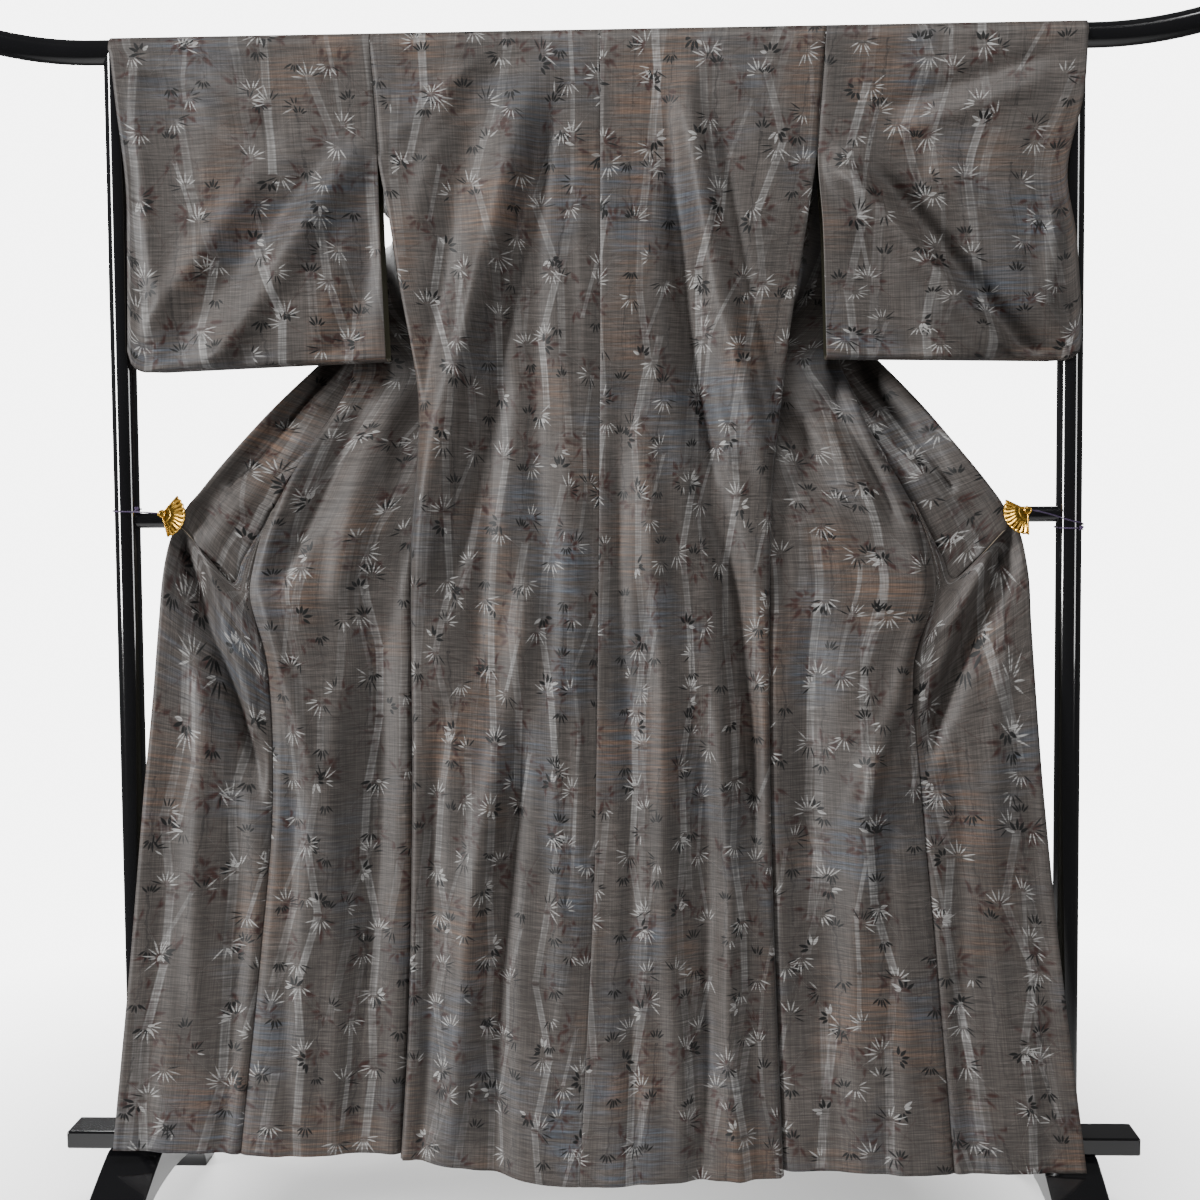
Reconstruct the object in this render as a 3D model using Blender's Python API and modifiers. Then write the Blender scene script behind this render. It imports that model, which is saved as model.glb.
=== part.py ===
"""Silk kimono hung open on a lacquered kimono stand.

Every cut piece of the garment is one thin wall with its own object: two body
lengths, two sleeves, two overlaps and the collar. A piece is a grid whose
points are placed on guide lines. "Drop" is the height below the shoulder fold,
the cloth's highest line, which lies over the stand's beam. The back hangs in
front of the beam (-Y), the front lengths fall behind it and are drawn out to
both sides by two fan clips. Metres, +Z up, origin on the floor under the middle.
"""
from collections import namedtuple
from math import atan2, ceil, cos, exp, pi, radians, sin

import bmesh
import bpy
from mathutils import Matrix, Vector

# ---------------------------------------------------------------- driving sizes
WALL = 0.0012              # shell and lining together
COLLAR_WALL = 0.0020       # the collar is folded double
SEAM_GAP = 0.0004          # between two pieces that are sewn together
ARMHOLE_GAP = 0.0008       # where the body turns away from the sleeve

BEAM_Z = 1.692             # height of the beam's axis
BEAM_RADIUS = 0.0175
BEAM_HALF = 0.93           # half of the beam's length
BEAM_STRAIGHT = 0.70       # the ends sweep up from here
BEAM_RISE = 0.045
POST_X = 0.672
POST_RADIUS = 0.018
RAIL_Z = 1.0283
RAIL_RADIUS = 0.011
PLANK_SIZE = (1.549, 0.064, 0.0257)
PLANK_BOTTOM = 0.1140
FOOT_WIDTH = 0.080
FOOT_HALF_LENGTH = 0.25
FOOT_SADDLE = 0.036        # half of the flat top that carries the plank
FOOT_SWEEP = 1.12          # how the foot's back curves down to the toe
TOE_LENGTH = 0.050
TOE_HEIGHT = 0.016
TOE_SPLAY = 0.004
ARCH_HEIGHT = 0.066
FIT_GAP = 0.0003           # between two pieces of the stand

BEND_RADIUS = 0.0192       # middle of the cloth's wall, over the beam
SHOULDER_Z = BEAM_Z + BEND_RADIUS
BEND_STEPS = 8

CENTRE_X = 0.016           # the garment hangs a little to the right
ATTACH_DROP = 0.172        # sleeve and body are sewn together down to here
SIDE_SEAM_DROP = 0.37      # back and front are joined below this
SIDE_TUCK = 0.0025         # the front's side edge lies this far under the back
SIDE_STEP = 0.0003         # and this much further back
STAND_OFF = 0.012          # how the hanging cloth moves off the beam, per metre
SLEEVE_BELLY = 0.004       # how far a sleeve layer rounds out
SLEEVE_HEM = 0.003         # how far its bottom fold rounds down
FOLD_START = 0.25          # shares of a fold's length over which it rises and fades
FOLD_FADE = 0.20
FLAT_EDGE = 0.12           # share of the back's width beside a seam with no fold

BODY_COLUMNS = 10
NECK_COLUMN = 3            # the front length starts at this column
OVERLAP_COLUMNS = 4
COLLAR_COLUMNS = 3

FAN_RADIUS = 0.034
FAN_HUB = 0.005
FAN_RIBS = 10
FAN_PLEAT = 0.0008
FAN_WALL = 0.0010
PIN_RADIUS = 0.0044        # the clip's pin, through the fan and back to the jaw
PIN_FRONT = -0.0366
JAW_SIZE = (0.033, 0.0012, 0.010)
CORD_RADIUS = 0.0011
KNOT_RADIUS = 0.0032

Line = namedtuple("Line", "drop x y")
Section = namedtuple("Section", "drop side_x side_y tuck_x tuck_y rim_x rim_y edge_x edge_y")
Edge = namedtuple("Edge", "at x y drop")
Fold = namedtuple("Fold", "start_drop start_x end_drop end_x width height")

CENTRE_SEAM = [
    Line(0.00, 0.016, -0.0192), Line(0.52, 0.012, -0.030), Line(1.15, 0.001, -0.048),
    Line(1.35, -0.008, -0.062), Line(1.62, -0.023, -0.094)]

BACK_SIDE = {
    "left": [
        Line(0.00, -0.308, -0.0192), Line(0.172, -0.298, -0.0213), Line(0.254, -0.284, -0.0240),
        Line(0.36, -0.268, -0.0265), Line(0.515, -0.245, -0.0290), Line(0.74, -0.259, -0.0320),
        Line(1.08, -0.261, -0.0410), Line(1.41, -0.270, -0.0540), Line(1.60, -0.281, -0.0680)],
    "right": [
        Line(0.00, 0.330, -0.0192), Line(0.172, 0.317, -0.0213), Line(0.284, 0.301, -0.0240),
        Line(0.42, 0.279, -0.0265), Line(0.547, 0.264, -0.0285), Line(0.66, 0.253, -0.0310),
        Line(0.94, 0.249, -0.0370), Line(1.26, 0.254, -0.0480), Line(1.62, 0.266, -0.0690)]}

BACK_HEM = {"centre": 1.624, "left": 1.597, "right": 1.619}

BACK_FOLDS = [
    Fold(0.02, -0.092, 0.80, -0.250, 0.022, 0.012),
    Fold(0.04, 0.125, 0.56, 0.205, 0.020, 0.009),
    Fold(0.06, 0.105, 1.00, 0.228, 0.016, -0.008),
    Fold(0.55, -0.080, 1.70, -0.130, 0.035, -0.012),
    Fold(0.80, 0.090, 1.70, 0.110, 0.040, -0.014),
    Fold(0.90, 0.190, 1.70, 0.205, 0.028, 0.010),
    Fold(0.95, -0.215, 1.70, -0.220, 0.026, 0.008)]

# The front length in plan, from the side edge to the collar or overlap seam.
FRONT = {
    "left": [
        Section(0.0192, -0.308, 0.0192, -0.232, 0.0192, -0.157, 0.0192, -0.081, 0.0192),
        Section(0.080, -0.3034, 0.0202, -0.250, 0.034, -0.165, 0.040, -0.102, 0.026),
        Section(0.150, -0.2993, 0.0210, -0.272, 0.055, -0.205, 0.072, -0.144, 0.036),
        Section(0.172, -0.2980, 0.0213, -0.279, 0.059, -0.221, 0.081, -0.157, 0.040),
        Section(0.230, -0.290, 0.0120, -0.296, 0.064, -0.262, 0.098, -0.192, 0.050),
        Section(0.300, -0.281, -0.0060, -0.298, 0.058, -0.322, 0.100, -0.2345, 0.062),
        Section(0.370, -0.2665, -0.0245, -0.283, 0.030, -0.352, 0.066, -0.277, 0.072),
        Section(0.415, -0.259, -0.0255, -0.250, 0.035, -0.350, 0.050, -0.304, 0.070),
        Section(0.460, -0.252, -0.0262, -0.212, 0.036, -0.345, 0.039, -0.331, 0.060),
        Section(0.510, -0.246, -0.0275, -0.208, 0.026, -0.356, 0.010, -0.361, 0.036),
        Section(0.580, -0.249, -0.0283, -0.226, 0.008, -0.399, -0.015, -0.403, 0.009),
        Section(0.640, -0.254, -0.0290, -0.238, -0.008, -0.434, -0.027, -0.4405, -0.012),
        Section(0.690, -0.257, -0.0298, -0.252, -0.0175, -0.452, -0.031, -0.4665, -0.021),
        Section(0.740, -0.259, -0.0305, -0.266, -0.019, -0.462, -0.034, -0.482, -0.027),
        Section(0.790, -0.2595, -0.0318, -0.285, -0.022, -0.440, -0.039, -0.489, -0.032),
        Section(0.900, -0.260, -0.0345, -0.312, -0.028, -0.405, -0.047, -0.466, -0.036),
        Section(1.080, -0.261, -0.0395, -0.330, -0.030, -0.400, -0.055, -0.461, -0.041),
        Section(1.300, -0.266, -0.0482, -0.340, -0.040, -0.412, -0.062, -0.480, -0.051),
        Section(1.590, -0.2805, -0.0660, -0.357, -0.060, -0.434, -0.078, -0.511, -0.070)],
    "right": [
        Section(0.0192, 0.330, 0.0192, 0.257, 0.0192, 0.183, 0.0192, 0.110, 0.0192),
        Section(0.080, 0.3238, 0.0202, 0.272, 0.034, 0.192, 0.042, 0.130, 0.026),
        Section(0.150, 0.3186, 0.0210, 0.295, 0.055, 0.230, 0.075, 0.168, 0.036),
        Section(0.172, 0.3170, 0.0213, 0.302, 0.059, 0.245, 0.083, 0.180, 0.040),
        Section(0.230, 0.307, 0.0120, 0.316, 0.064, 0.285, 0.100, 0.212, 0.050),
        Section(0.300, 0.298, -0.0060, 0.318, 0.058, 0.344, 0.100, 0.250, 0.062),
        Section(0.370, 0.2865, -0.0240, 0.304, 0.030, 0.366, 0.066, 0.2886, 0.072),
        Section(0.415, 0.279, -0.0249, 0.270, 0.035, 0.362, 0.050, 0.313, 0.070),
        Section(0.460, 0.2735, -0.0256, 0.234, 0.036, 0.352, 0.039, 0.338, 0.060),
        Section(0.510, 0.2675, -0.0265, 0.230, 0.026, 0.368, 0.010, 0.365, 0.036),
        Section(0.580, 0.260, -0.0277, 0.236, 0.008, 0.392, -0.015, 0.404, 0.009),
        Section(0.640, 0.2545, -0.0290, 0.240, -0.008, 0.424, -0.026, 0.4365, -0.012),
        Section(0.690, 0.252, -0.0300, 0.247, -0.0175, 0.446, -0.030, 0.461, -0.021),
        Section(0.740, 0.251, -0.0310, 0.257, -0.019, 0.452, -0.034, 0.476, -0.027),
        Section(0.790, 0.250, -0.0320, 0.272, -0.022, 0.430, -0.040, 0.481, -0.032),
        Section(0.900, 0.249, -0.0345, 0.294, -0.028, 0.388, -0.047, 0.451, -0.036),
        Section(1.080, 0.2495, -0.0400, 0.312, -0.030, 0.388, -0.055, 0.462, -0.041),
        Section(1.300, 0.2555, -0.0485, 0.325, -0.040, 0.402, -0.062, 0.481, -0.052),
        Section(1.610, 0.266, -0.0670, 0.345, -0.062, 0.425, -0.080, 0.505, -0.072)]}

# Rows of the body: shares of the back's length, then drops down the front.
BACK_SHARES = (1.0, 0.93, 0.86, 0.79, 0.72, 0.65, 0.58, 0.51, 0.44, 0.375, 0.32, 0.27,
               0.228, 0.19, 0.15, 0.105, 0.06, 0.03)
FRONT_DROPS = (0.036, 0.055, 0.080, 0.115, 0.150, 0.190, 0.230, 0.265, 0.300, 0.335, 0.370,
               0.415, 0.460, 0.510, 0.545, 0.580, 0.610, 0.640, 0.664, 0.690, 0.715, 0.740,
               0.765, 0.790, 0.820, 0.850, 0.875, 0.900, 0.940, 0.990, 1.080, 1.190, 1.300, 1.440)
OVERLAP_DROP = 0.664       # the overlap's point under the collar

# Outer edge of the overlap, by the drop of the same row at its seam: along the
# collar's seam, along the collar's end, then down the front edge.
OVERLAP = {
    "left": [
        Edge(0.664, -0.4582, -0.0172, 0.6640), Edge(0.690, -0.4720, -0.0215, 0.6920),
        Edge(0.740, -0.4990, -0.0275, 0.7400), Edge(0.790, -0.5158, -0.0300, 0.7718),
        Edge(0.820, -0.5520, -0.0286, 0.7320), Edge(0.850, -0.5885, -0.0275, 0.6920),
        Edge(0.875, -0.6015, -0.0275, 0.7060), Edge(0.900, -0.6135, -0.0285, 0.7520),
        Edge(0.940, -0.6210, -0.0320, 0.8250), Edge(0.990, -0.6310, -0.0360, 0.9350),
        Edge(1.080, -0.6450, -0.0410, 1.0650), Edge(1.300, -0.6670, -0.0510, 1.3000),
        Edge(1.590, -0.6940, -0.0720, 1.5840)],
    "right": [
        Edge(0.664, 0.4527, -0.0172, 0.6640), Edge(0.690, 0.4660, -0.0215, 0.6920),
        Edge(0.740, 0.4905, -0.0275, 0.7400), Edge(0.790, 0.5088, -0.0300, 0.7718),
        Edge(0.820, 0.5480, -0.0286, 0.7360), Edge(0.850, 0.5865, -0.0275, 0.6975),
        Edge(0.875, 0.6000, -0.0275, 0.7120), Edge(0.900, 0.6110, -0.0285, 0.7660),
        Edge(0.940, 0.6145, -0.0320, 0.8330), Edge(0.990, 0.6220, -0.0360, 0.9450),
        Edge(1.080, 0.6320, -0.0410, 1.0750), Edge(1.300, 0.6540, -0.0520, 1.3000),
        Edge(1.610, 0.6890, -0.0740, 1.6060)]}

OVERLAP_FOLDS = {
    "left": [Fold(0.74, -0.575, 1.25, -0.590, 0.016, -0.010)],
    "right": [Fold(0.74, 0.560, 1.25, 0.580, 0.016, -0.010)]}

# Free edge of the collar. "at" is the drop of the same row at its seam, and behind
# the neck it is minus the distance from the neck's corner.
COLLAR = {
    "left": [
        Edge(-0.097, 0.0160, 0.0340, 0.0900), Edge(-0.040, -0.0280, 0.0360, 0.0900),
        Edge(0.000, -0.0520, 0.0420, 0.0860), Edge(0.080, -0.0690, 0.0600, 0.1060),
        Edge(0.150, -0.1080, 0.0800, 0.1640), Edge(0.230, -0.1700, 0.1030, 0.2380),
        Edge(0.300, -0.2360, 0.1190, 0.2960), Edge(0.370, -0.2930, 0.1220, 0.3560),
        Edge(0.460, -0.3800, 0.0860, 0.4340), Edge(0.545, -0.4590, 0.0280, 0.5180),
        Edge(0.640, -0.5280, -0.0140, 0.6020), Edge(0.690, -0.5600, -0.0235, 0.6430),
        Edge(0.740, -0.5790, -0.0265, 0.6660), Edge(0.771, -0.5880, -0.0275, 0.6900)],
    "right": [
        Edge(-0.094, 0.0160, 0.0340, 0.0900), Edge(-0.040, 0.0590, 0.0360, 0.0900),
        Edge(0.000, 0.0820, 0.0420, 0.0860), Edge(0.080, 0.0980, 0.0600, 0.1060),
        Edge(0.150, 0.1340, 0.0800, 0.1640), Edge(0.230, 0.1920, 0.1030, 0.2380),
        Edge(0.300, 0.2520, 0.1190, 0.2960), Edge(0.370, 0.3060, 0.1220, 0.3560),
        Edge(0.460, 0.3870, 0.0860, 0.4340), Edge(0.545, 0.4600, 0.0280, 0.5170),
        Edge(0.640, 0.5280, -0.0140, 0.6040), Edge(0.690, 0.5600, -0.0235, 0.6460),
        Edge(0.740, 0.5770, -0.0265, 0.6720), Edge(0.771, 0.5855, -0.0275, 0.6960)]}
COLLAR_END_DROP = 0.771
COLLAR_CORNER = 0.790      # the overlap's row at the corner of the collar's end
COLLAR_CORNER_SHARE = 0.88 # the collar stops this far along to it

# Shares of a sleeve's width and of its length at which its columns and rows lie.
SLEEVE_COLUMNS = (0.0, 0.15, 0.31, 0.47, 0.62, 0.75, 0.86, 0.915, 1.0)
SLEEVE_SHARES = (0.985, 0.92, 0.82, 0.71, 0.60, 0.51, 0.44, 0.37, 0.26, 0.14, 0.08)
STEP_START = 0.86          # the far layer steps forward, past the post, from here
STEP_LENGTH = 0.055

# Sleeve edges: inner edge beside the body, outer edge of each layer.
SLEEVE_INNER = {
    "left": [Line(0.0, -0.308, 0), Line(0.172, -0.298, 0), Line(0.28, -0.2955, 0), Line(0.47, -0.289, 0)],
    "right": [Line(0.0, 0.330, 0), Line(0.172, 0.317, 0), Line(0.282, 0.324, 0), Line(0.47, 0.329, 0)]}
SLEEVE_OUTER_NEAR = {
    "left": [
        Line(0.00, -0.678, -0.0192), Line(0.10, -0.668, -0.0208), Line(0.207, -0.6565, -0.0222),
        Line(0.30, -0.6565, -0.0225), Line(0.47, -0.660, -0.0225)],
    "right": [
        Line(0.00, 0.690, -0.0192), Line(0.10, 0.684, -0.0208), Line(0.207, 0.6615, -0.0222),
        Line(0.30, 0.675, -0.0225), Line(0.47, 0.686, -0.0225)]}
SLEEVE_OUTER_FAR = {
    "left": [
        Line(0.00, -0.678, 0.0192), Line(0.08, -0.665, 0.0230), Line(0.15, -0.645, 0.0200),
        Line(0.20, -0.636, 0.0080), Line(0.24, -0.640, -0.0120), Line(0.28, -0.654, -0.0199),
        Line(0.34, -0.6575, -0.0201), Line(0.47, -0.660, -0.0201)],
    "right": [
        Line(0.00, 0.690, 0.0192), Line(0.08, 0.676, 0.0230), Line(0.15, 0.650, 0.0215),
        Line(0.20, 0.636, 0.0080), Line(0.24, 0.640, -0.0120), Line(0.28, 0.662, -0.0199),
        Line(0.34, 0.678, -0.0201), Line(0.47, 0.686, -0.0201)]}
SLEEVE_BOTTOM = {"left": (0.460, 0.474), "right": (0.463, 0.470)}   # inner, outer
SLEEVE_CORNER = 0.030      # radius of the outer bottom corner

FAN = {  # pivot x and drop, first and last rib angle in the plane of the cloth
    "left": (-0.612, 0.673, radians(-76), radians(47)),
    "right": (0.608, 0.677, radians(155), radians(272))}
FAN_Y = -0.0345
JAW_Y = -0.0225

CORD_ROUTES = {  # x, y, z by hand from the fan's eye once round the post to the knot
    "left": [
        (-0.6170, -0.0345, 1.0390), (-0.6300, -0.0335, 1.0400), (-0.6450, -0.0290, 1.0408),
        (-0.6600, -0.0225, 1.0412), (-0.6740, -0.0198, 1.0415), (-0.6870, -0.0130, 1.0420),
        (-0.6918, 0.0000, 1.0426), (-0.6870, 0.0130, 1.0432), (-0.6740, 0.0198, 1.0438),
        (-0.6600, 0.0157, 1.0444), (-0.6524, 0.0030, 1.0448), (-0.6535, -0.0090, 1.0450)],
    "right": [
        (0.6130, -0.0345, 1.0345), (0.6260, -0.0330, 1.0320), (0.6420, -0.0285, 1.0280),
        (0.6580, -0.0225, 1.0230), (0.6720, -0.0200, 1.0190), (0.6850, -0.0150, 1.0160),
        (0.6920, 0.0000, 1.0135), (0.6850, 0.0152, 1.0125), (0.6720, 0.0200, 1.0115),
        (0.6570, 0.0132, 1.0105), (0.6522, 0.0000, 1.0098), (0.6570, -0.0134, 1.0090),
        (0.6700, -0.0200, 1.0085), (0.6810, -0.0180, 1.0085)]}
KNOT_PLACES = {"left": (-0.6545, -0.0140, 1.0455), "right": (0.6862, -0.0178, 1.0093)}


# ------------------------------------------------------------------- reading guides
def smooth_value(keys, values, at):
    """Value at a key on a smooth curve through the rows of a guide."""
    at = min(max(at, keys[0]), keys[-1])
    last = len(keys) - 1
    i = next((n for n in range(last) if at <= keys[n + 1]), last - 1)

    def slope(n):
        low, high = max(n - 1, 0), min(n + 1, last)
        return (values[high] - values[low]) / (keys[high] - keys[low])

    step = keys[i + 1] - keys[i]
    t = (at - keys[i]) / step
    rise = (2 * t**3 - 3 * t**2 + 1) * values[i] + (3 * t**2 - 2 * t**3) * values[i + 1]
    bend = (t**3 - 2 * t**2 + t) * slope(i) + (t**3 - t**2) * slope(i + 1)
    return rise + step * bend


def guide(rows, name, drop):
    return smooth_value([row.drop for row in rows], [getattr(row, name) for row in rows], drop)


def blend(a, b, t):
    return a + (b - a) * t


def ease(t):
    t = min(max(t, 0.0), 1.0)
    return t * t * (3 - 2 * t)


def curve_through(points, count, fine=12):
    """count + 1 points, evenly spaced, on a smooth curve through the given ones."""
    keys = [0.0]
    for a, b in zip(points, points[1:]):
        keys.append(keys[-1] + (b - a).length)
    total = fine * (len(points) - 1)
    dense = []
    for n in range(total + 1):
        at = keys[-1] * n / total
        dense.append(Vector([smooth_value(keys, [p[axis] for p in points], at) for axis in range(3)]))
    runs = [0.0]
    for a, b in zip(dense, dense[1:]):
        runs.append(runs[-1] + (b - a).length)
    placed = []
    for n in range(count + 1):
        at = runs[-1] * n / count
        i = next((m for m in range(total) if at <= runs[m + 1]), total - 1)
        placed.append(dense[i].lerp(dense[i + 1], (at - runs[i]) / (runs[i + 1] - runs[i])))
    return placed


def pull_in(points, start, end):
    """The same row of points with its two ends drawn back from their seams."""
    first = points[0] + (points[1] - points[0]).normalized() * start
    last = points[-1] + (points[-2] - points[-1]).normalized() * end
    return [first] + points[1:-1] + [last]


def flat_y(drop):
    """How far the hanging cloth stands off the beam's middle plane."""
    return BEND_RADIUS + STAND_OFF * max(0.0, drop - BEND_RADIUS)


def armhole_x(side, drop):
    """The straight line on which body and sleeve are sewn together."""
    top, bottom = BACK_SIDE[side][0], BACK_SIDE[side][1]
    return blend(top.x, bottom.x, drop / ATTACH_DROP)


def fold_height(folds, x, drop):
    """How far folds lift the cloth towards the viewer at a place."""
    lift = 0.0
    for fold in folds:
        run = (drop - fold.start_drop) / (fold.end_drop - fold.start_drop)
        if 0.0 < run < 1.0:
            middle = blend(fold.start_x, fold.end_x, run)
            across = (x - middle) / fold.width
            fade = ease(run / FOLD_START) * ease((1.0 - run) / FOLD_FADE)
            lift += fold.height * fade * exp(-across * across)
    return lift


def at_drop(x, y, drop):
    return Vector((x, y, SHOULDER_Z - drop))


# --------------------------------------------------------------------- scene helpers
def new_collection(name):
    collection = bpy.data.collections.new(name)
    bpy.context.scene.collection.children.link(collection)
    return collection


def new_material(name, colour, roughness, metallic=0.0):
    material = bpy.data.materials.new(name)
    material.use_nodes = True
    shader = material.node_tree.nodes["Principled BSDF"]
    shader.inputs["Base Color"].default_value = (*colour, 1.0)
    shader.inputs["Roughness"].default_value = roughness
    shader.inputs["Metallic"].default_value = metallic
    return material


def add_object(name, data, material, collection):
    piece = bpy.data.objects.new(name, data)
    if material:
        data.materials.append(material)
    collection.objects.link(piece)
    return piece


def add_mesh(name, bm, material, collection, smooth=True):
    mesh = bpy.data.meshes.new(name)
    bm.to_mesh(mesh)
    bm.free()
    piece = add_object(name, mesh, material, collection)
    if smooth:
        mesh.shade_smooth()
        mesh.set_sharp_from_angle(angle=radians(40))
    return piece


def add_wall(piece, thickness):
    solidify = piece.modifiers.new("Wall", "SOLIDIFY")
    solidify.thickness = thickness
    solidify.offset = 0.0
    solidify.use_quality_normals = True
    return piece


def cloth_grid(rows, keep=lambda column, row: True):
    """A grid of cloth placed on rows of points; keep says which cells stay."""
    columns = len(rows[0]) - 1
    bm = bmesh.new()
    bmesh.ops.create_grid(bm, x_segments=columns, y_segments=len(rows) - 1, size=1.0)
    spot = {}
    for vertex in bm.verts:
        column = round((vertex.co.x + 1.0) / 2.0 * columns)
        row = round((vertex.co.y + 1.0) / 2.0 * (len(rows) - 1))
        spot[vertex] = (column, row)
    cut = []
    for face in bm.faces:
        column = min(spot[vertex][0] for vertex in face.verts)
        row = min(spot[vertex][1] for vertex in face.verts)
        if not keep(column, row):
            cut.append(face)
    for vertex, (column, row) in spot.items():
        vertex.co = rows[row][column]
    bmesh.ops.delete(bm, geom=cut, context="FACES")
    return bm


# --------------------------------------------------------------------- the garment
def back_row(side, share):
    """Points from the centre seam to the side edge, at a share of the back's length."""
    points = []
    for column in range(BODY_COLUMNS + 1):
        t = column / BODY_COLUMNS
        drop = share * blend(BACK_HEM["centre"], BACK_HEM[side], ease(t))
        sewn = drop <= ATTACH_DROP
        side_x = armhole_x(side, drop) if sewn else guide(BACK_SIDE[side], "x", drop)
        side_y = -flat_y(drop) if sewn else guide(BACK_SIDE[side], "y", drop)
        x = blend(guide(CENTRE_SEAM, "x", drop), side_x, t)
        y = blend(guide(CENTRE_SEAM, "y", drop), side_y, ease(t))
        inside = ease(t / FLAT_EDGE) * ease((1.0 - t) / FLAT_EDGE)
        below_beam = ease(drop / BEND_RADIUS / 3 - 1 / 3)
        y -= inside * below_beam * fold_height(BACK_FOLDS, x, drop)
        points.append(at_drop(x, y, drop))
    return pull_in(points, SEAM_GAP / 2, 0.0)


def bend_row(side, angle):
    """Points over the beam; angle runs from 0 in front of it to pi behind it."""
    points = []
    for column in range(BODY_COLUMNS + 1):
        drop = BEND_RADIUS * (1.0 - sin(angle))
        x = blend(CENTRE_X, armhole_x(side, drop), column / BODY_COLUMNS)
        points.append(at_drop(x, -BEND_RADIUS * cos(angle), drop))
    return pull_in(points, SEAM_GAP / 2, 0.0)


def neck_row(side):
    """The neck seam from the middle to the front length's first column."""
    first = FRONT_DROPS[0]
    corner = front_row(side, first)[0]
    middle = at_drop(CENTRE_X, corner.y, first)
    return [middle.lerp(corner, column / NECK_COLUMN) for column in range(NECK_COLUMN + 1)]


def front_row(side, drop):
    """Points from the collar or overlap seam to the side edge of the front length."""
    table = FRONT[side]
    corners = []
    for name in ("edge", "rim", "tuck", "side"):
        corners.append(at_drop(guide(table, name + "_x", drop), guide(table, name + "_y", drop), drop))
    if drop <= ATTACH_DROP:
        corners[-1] = at_drop(armhole_x(side, drop), flat_y(drop), drop)
    else:
        sewn = ease((drop - ATTACH_DROP) / (SIDE_SEAM_DROP - ATTACH_DROP))
        inwards = 1 if side == "left" else -1
        corners[-1] += sewn * Vector((inwards * SIDE_TUCK, SIDE_STEP, 0.0))
    return curve_through(corners, BODY_COLUMNS - NECK_COLUMN)


def front_drops(side):
    return list(FRONT_DROPS) + [FRONT[side][-1].drop]


def build_body(side, material, collection):
    """One length of cloth from the back hem over the shoulder to the front hem."""
    rows = [back_row(side, share) for share in BACK_SHARES]
    rows += [bend_row(side, pi * step / BEND_STEPS) for step in range(BEND_STEPS + 1)]
    bends_end = len(rows) - 1
    neck = pull_in(neck_row(side), SEAM_GAP / 2, 0.0)[:NECK_COLUMN]
    for drop in front_drops(side):
        rows.append(neck + pull_in(front_row(side, drop), SEAM_GAP / 2, 0.0))

    def keep(column, row):
        return column >= NECK_COLUMN or row <= bends_end

    bm = cloth_grid(rows, keep)
    return add_wall(add_mesh("body_" + side, bm, material, collection), WALL)


def free_edge(rows, at):
    """Point of a piece's outer edge, read from its table."""
    keys = [row.at for row in rows]
    x, y, drop = (smooth_value(keys, [getattr(row, name) for row in rows], at)
                  for name in ("x", "y", "drop"))
    return at_drop(x, y, drop)


def strip_row(seam, edge, columns, start_gap, end_gap, folds=()):
    """A straight row from the seam to the outer edge, lifted by folds."""
    row = []
    for column in range(columns + 1):
        t = column / columns
        point = seam.lerp(edge, t)
        point.y -= sin(pi * t) * fold_height(folds, point.x, SHOULDER_Z - point.z)
        row.append(point)
    return pull_in(row, start_gap, end_gap)


def build_overlap(side, material, collection):
    """The overlap from its point under the collar to the hem."""
    rows = []
    for drop in front_drops(side):
        if drop >= OVERLAP_DROP:
            rows.append(strip_row(front_row(side, drop)[0], free_edge(OVERLAP[side], drop),
                                  OVERLAP_COLUMNS, SEAM_GAP / 2, SEAM_GAP / 2, OVERLAP_FOLDS[side]))
    bm = cloth_grid(rows)
    return add_wall(add_mesh("overlap_" + side, bm, material, collection), WALL)


def collar_rows(side):
    """Rows of the collar from the middle of the neck to one end."""
    spots = []
    neck = neck_row(side)
    for point in neck:
        spots.append((-(point - neck[-1]).length, point))
    for drop in FRONT_DROPS[1:]:
        if drop < OVERLAP_DROP:
            spots.append((drop, front_row(side, drop)[0]))
        elif drop < COLLAR_END_DROP:
            spots.append((drop, free_edge(OVERLAP[side], drop)))
    corner = spots[-1][1].lerp(free_edge(OVERLAP[side], COLLAR_CORNER), COLLAR_CORNER_SHARE)
    spots.append((COLLAR_END_DROP, corner))
    gap = SEAM_GAP + COLLAR_WALL / 2
    return [strip_row(seam, free_edge(COLLAR[side], at), COLLAR_COLUMNS, gap, 0.0) for at, seam in spots]


def build_collar(material, collection):
    """One band from the left end round the neck to the right end."""
    rows = collar_rows("left")[::-1] + collar_rows("right")[1:]
    bm = cloth_grid(rows)
    return add_wall(add_mesh("collar", bm, material, collection), COLLAR_WALL)


def sleeve_layer_row(side, share, far):
    """Points of one sleeve layer from the inner to the outer edge."""
    outer = SLEEVE_OUTER_FAR[side] if far else SLEEVE_OUTER_NEAR[side]
    inner_bottom, outer_bottom = SLEEVE_BOTTOM[side]
    points = []
    for t in SLEEVE_COLUMNS:
        bottom = blend(inner_bottom, outer_bottom, t)
        x_full = abs(outer[-1].x - SLEEVE_INNER[side][-1].x)
        past_corner = max(0.0, t * x_full - (x_full - SLEEVE_CORNER))
        bottom -= SLEEVE_CORNER - (SLEEVE_CORNER**2 - past_corner**2) ** 0.5
        drop = share * bottom
        inner_x = armhole_x(side, drop) if drop <= ATTACH_DROP else guide(SLEEVE_INNER[side], "x", drop)
        inner_x += ARMHOLE_GAP if inner_x > 0 else -ARMHOLE_GAP
        x = blend(inner_x, guide(outer, "x", drop), t)
        belly = SLEEVE_BELLY * sin(pi * t) * ease(drop / ATTACH_DROP)
        flat = flat_y(drop) + belly if far else -flat_y(drop) - belly
        y = blend(flat, guide(outer, "y", drop), ease((t - STEP_START) / STEP_LENGTH))
        points.append(at_drop(x, y, drop))
    return points


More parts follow.
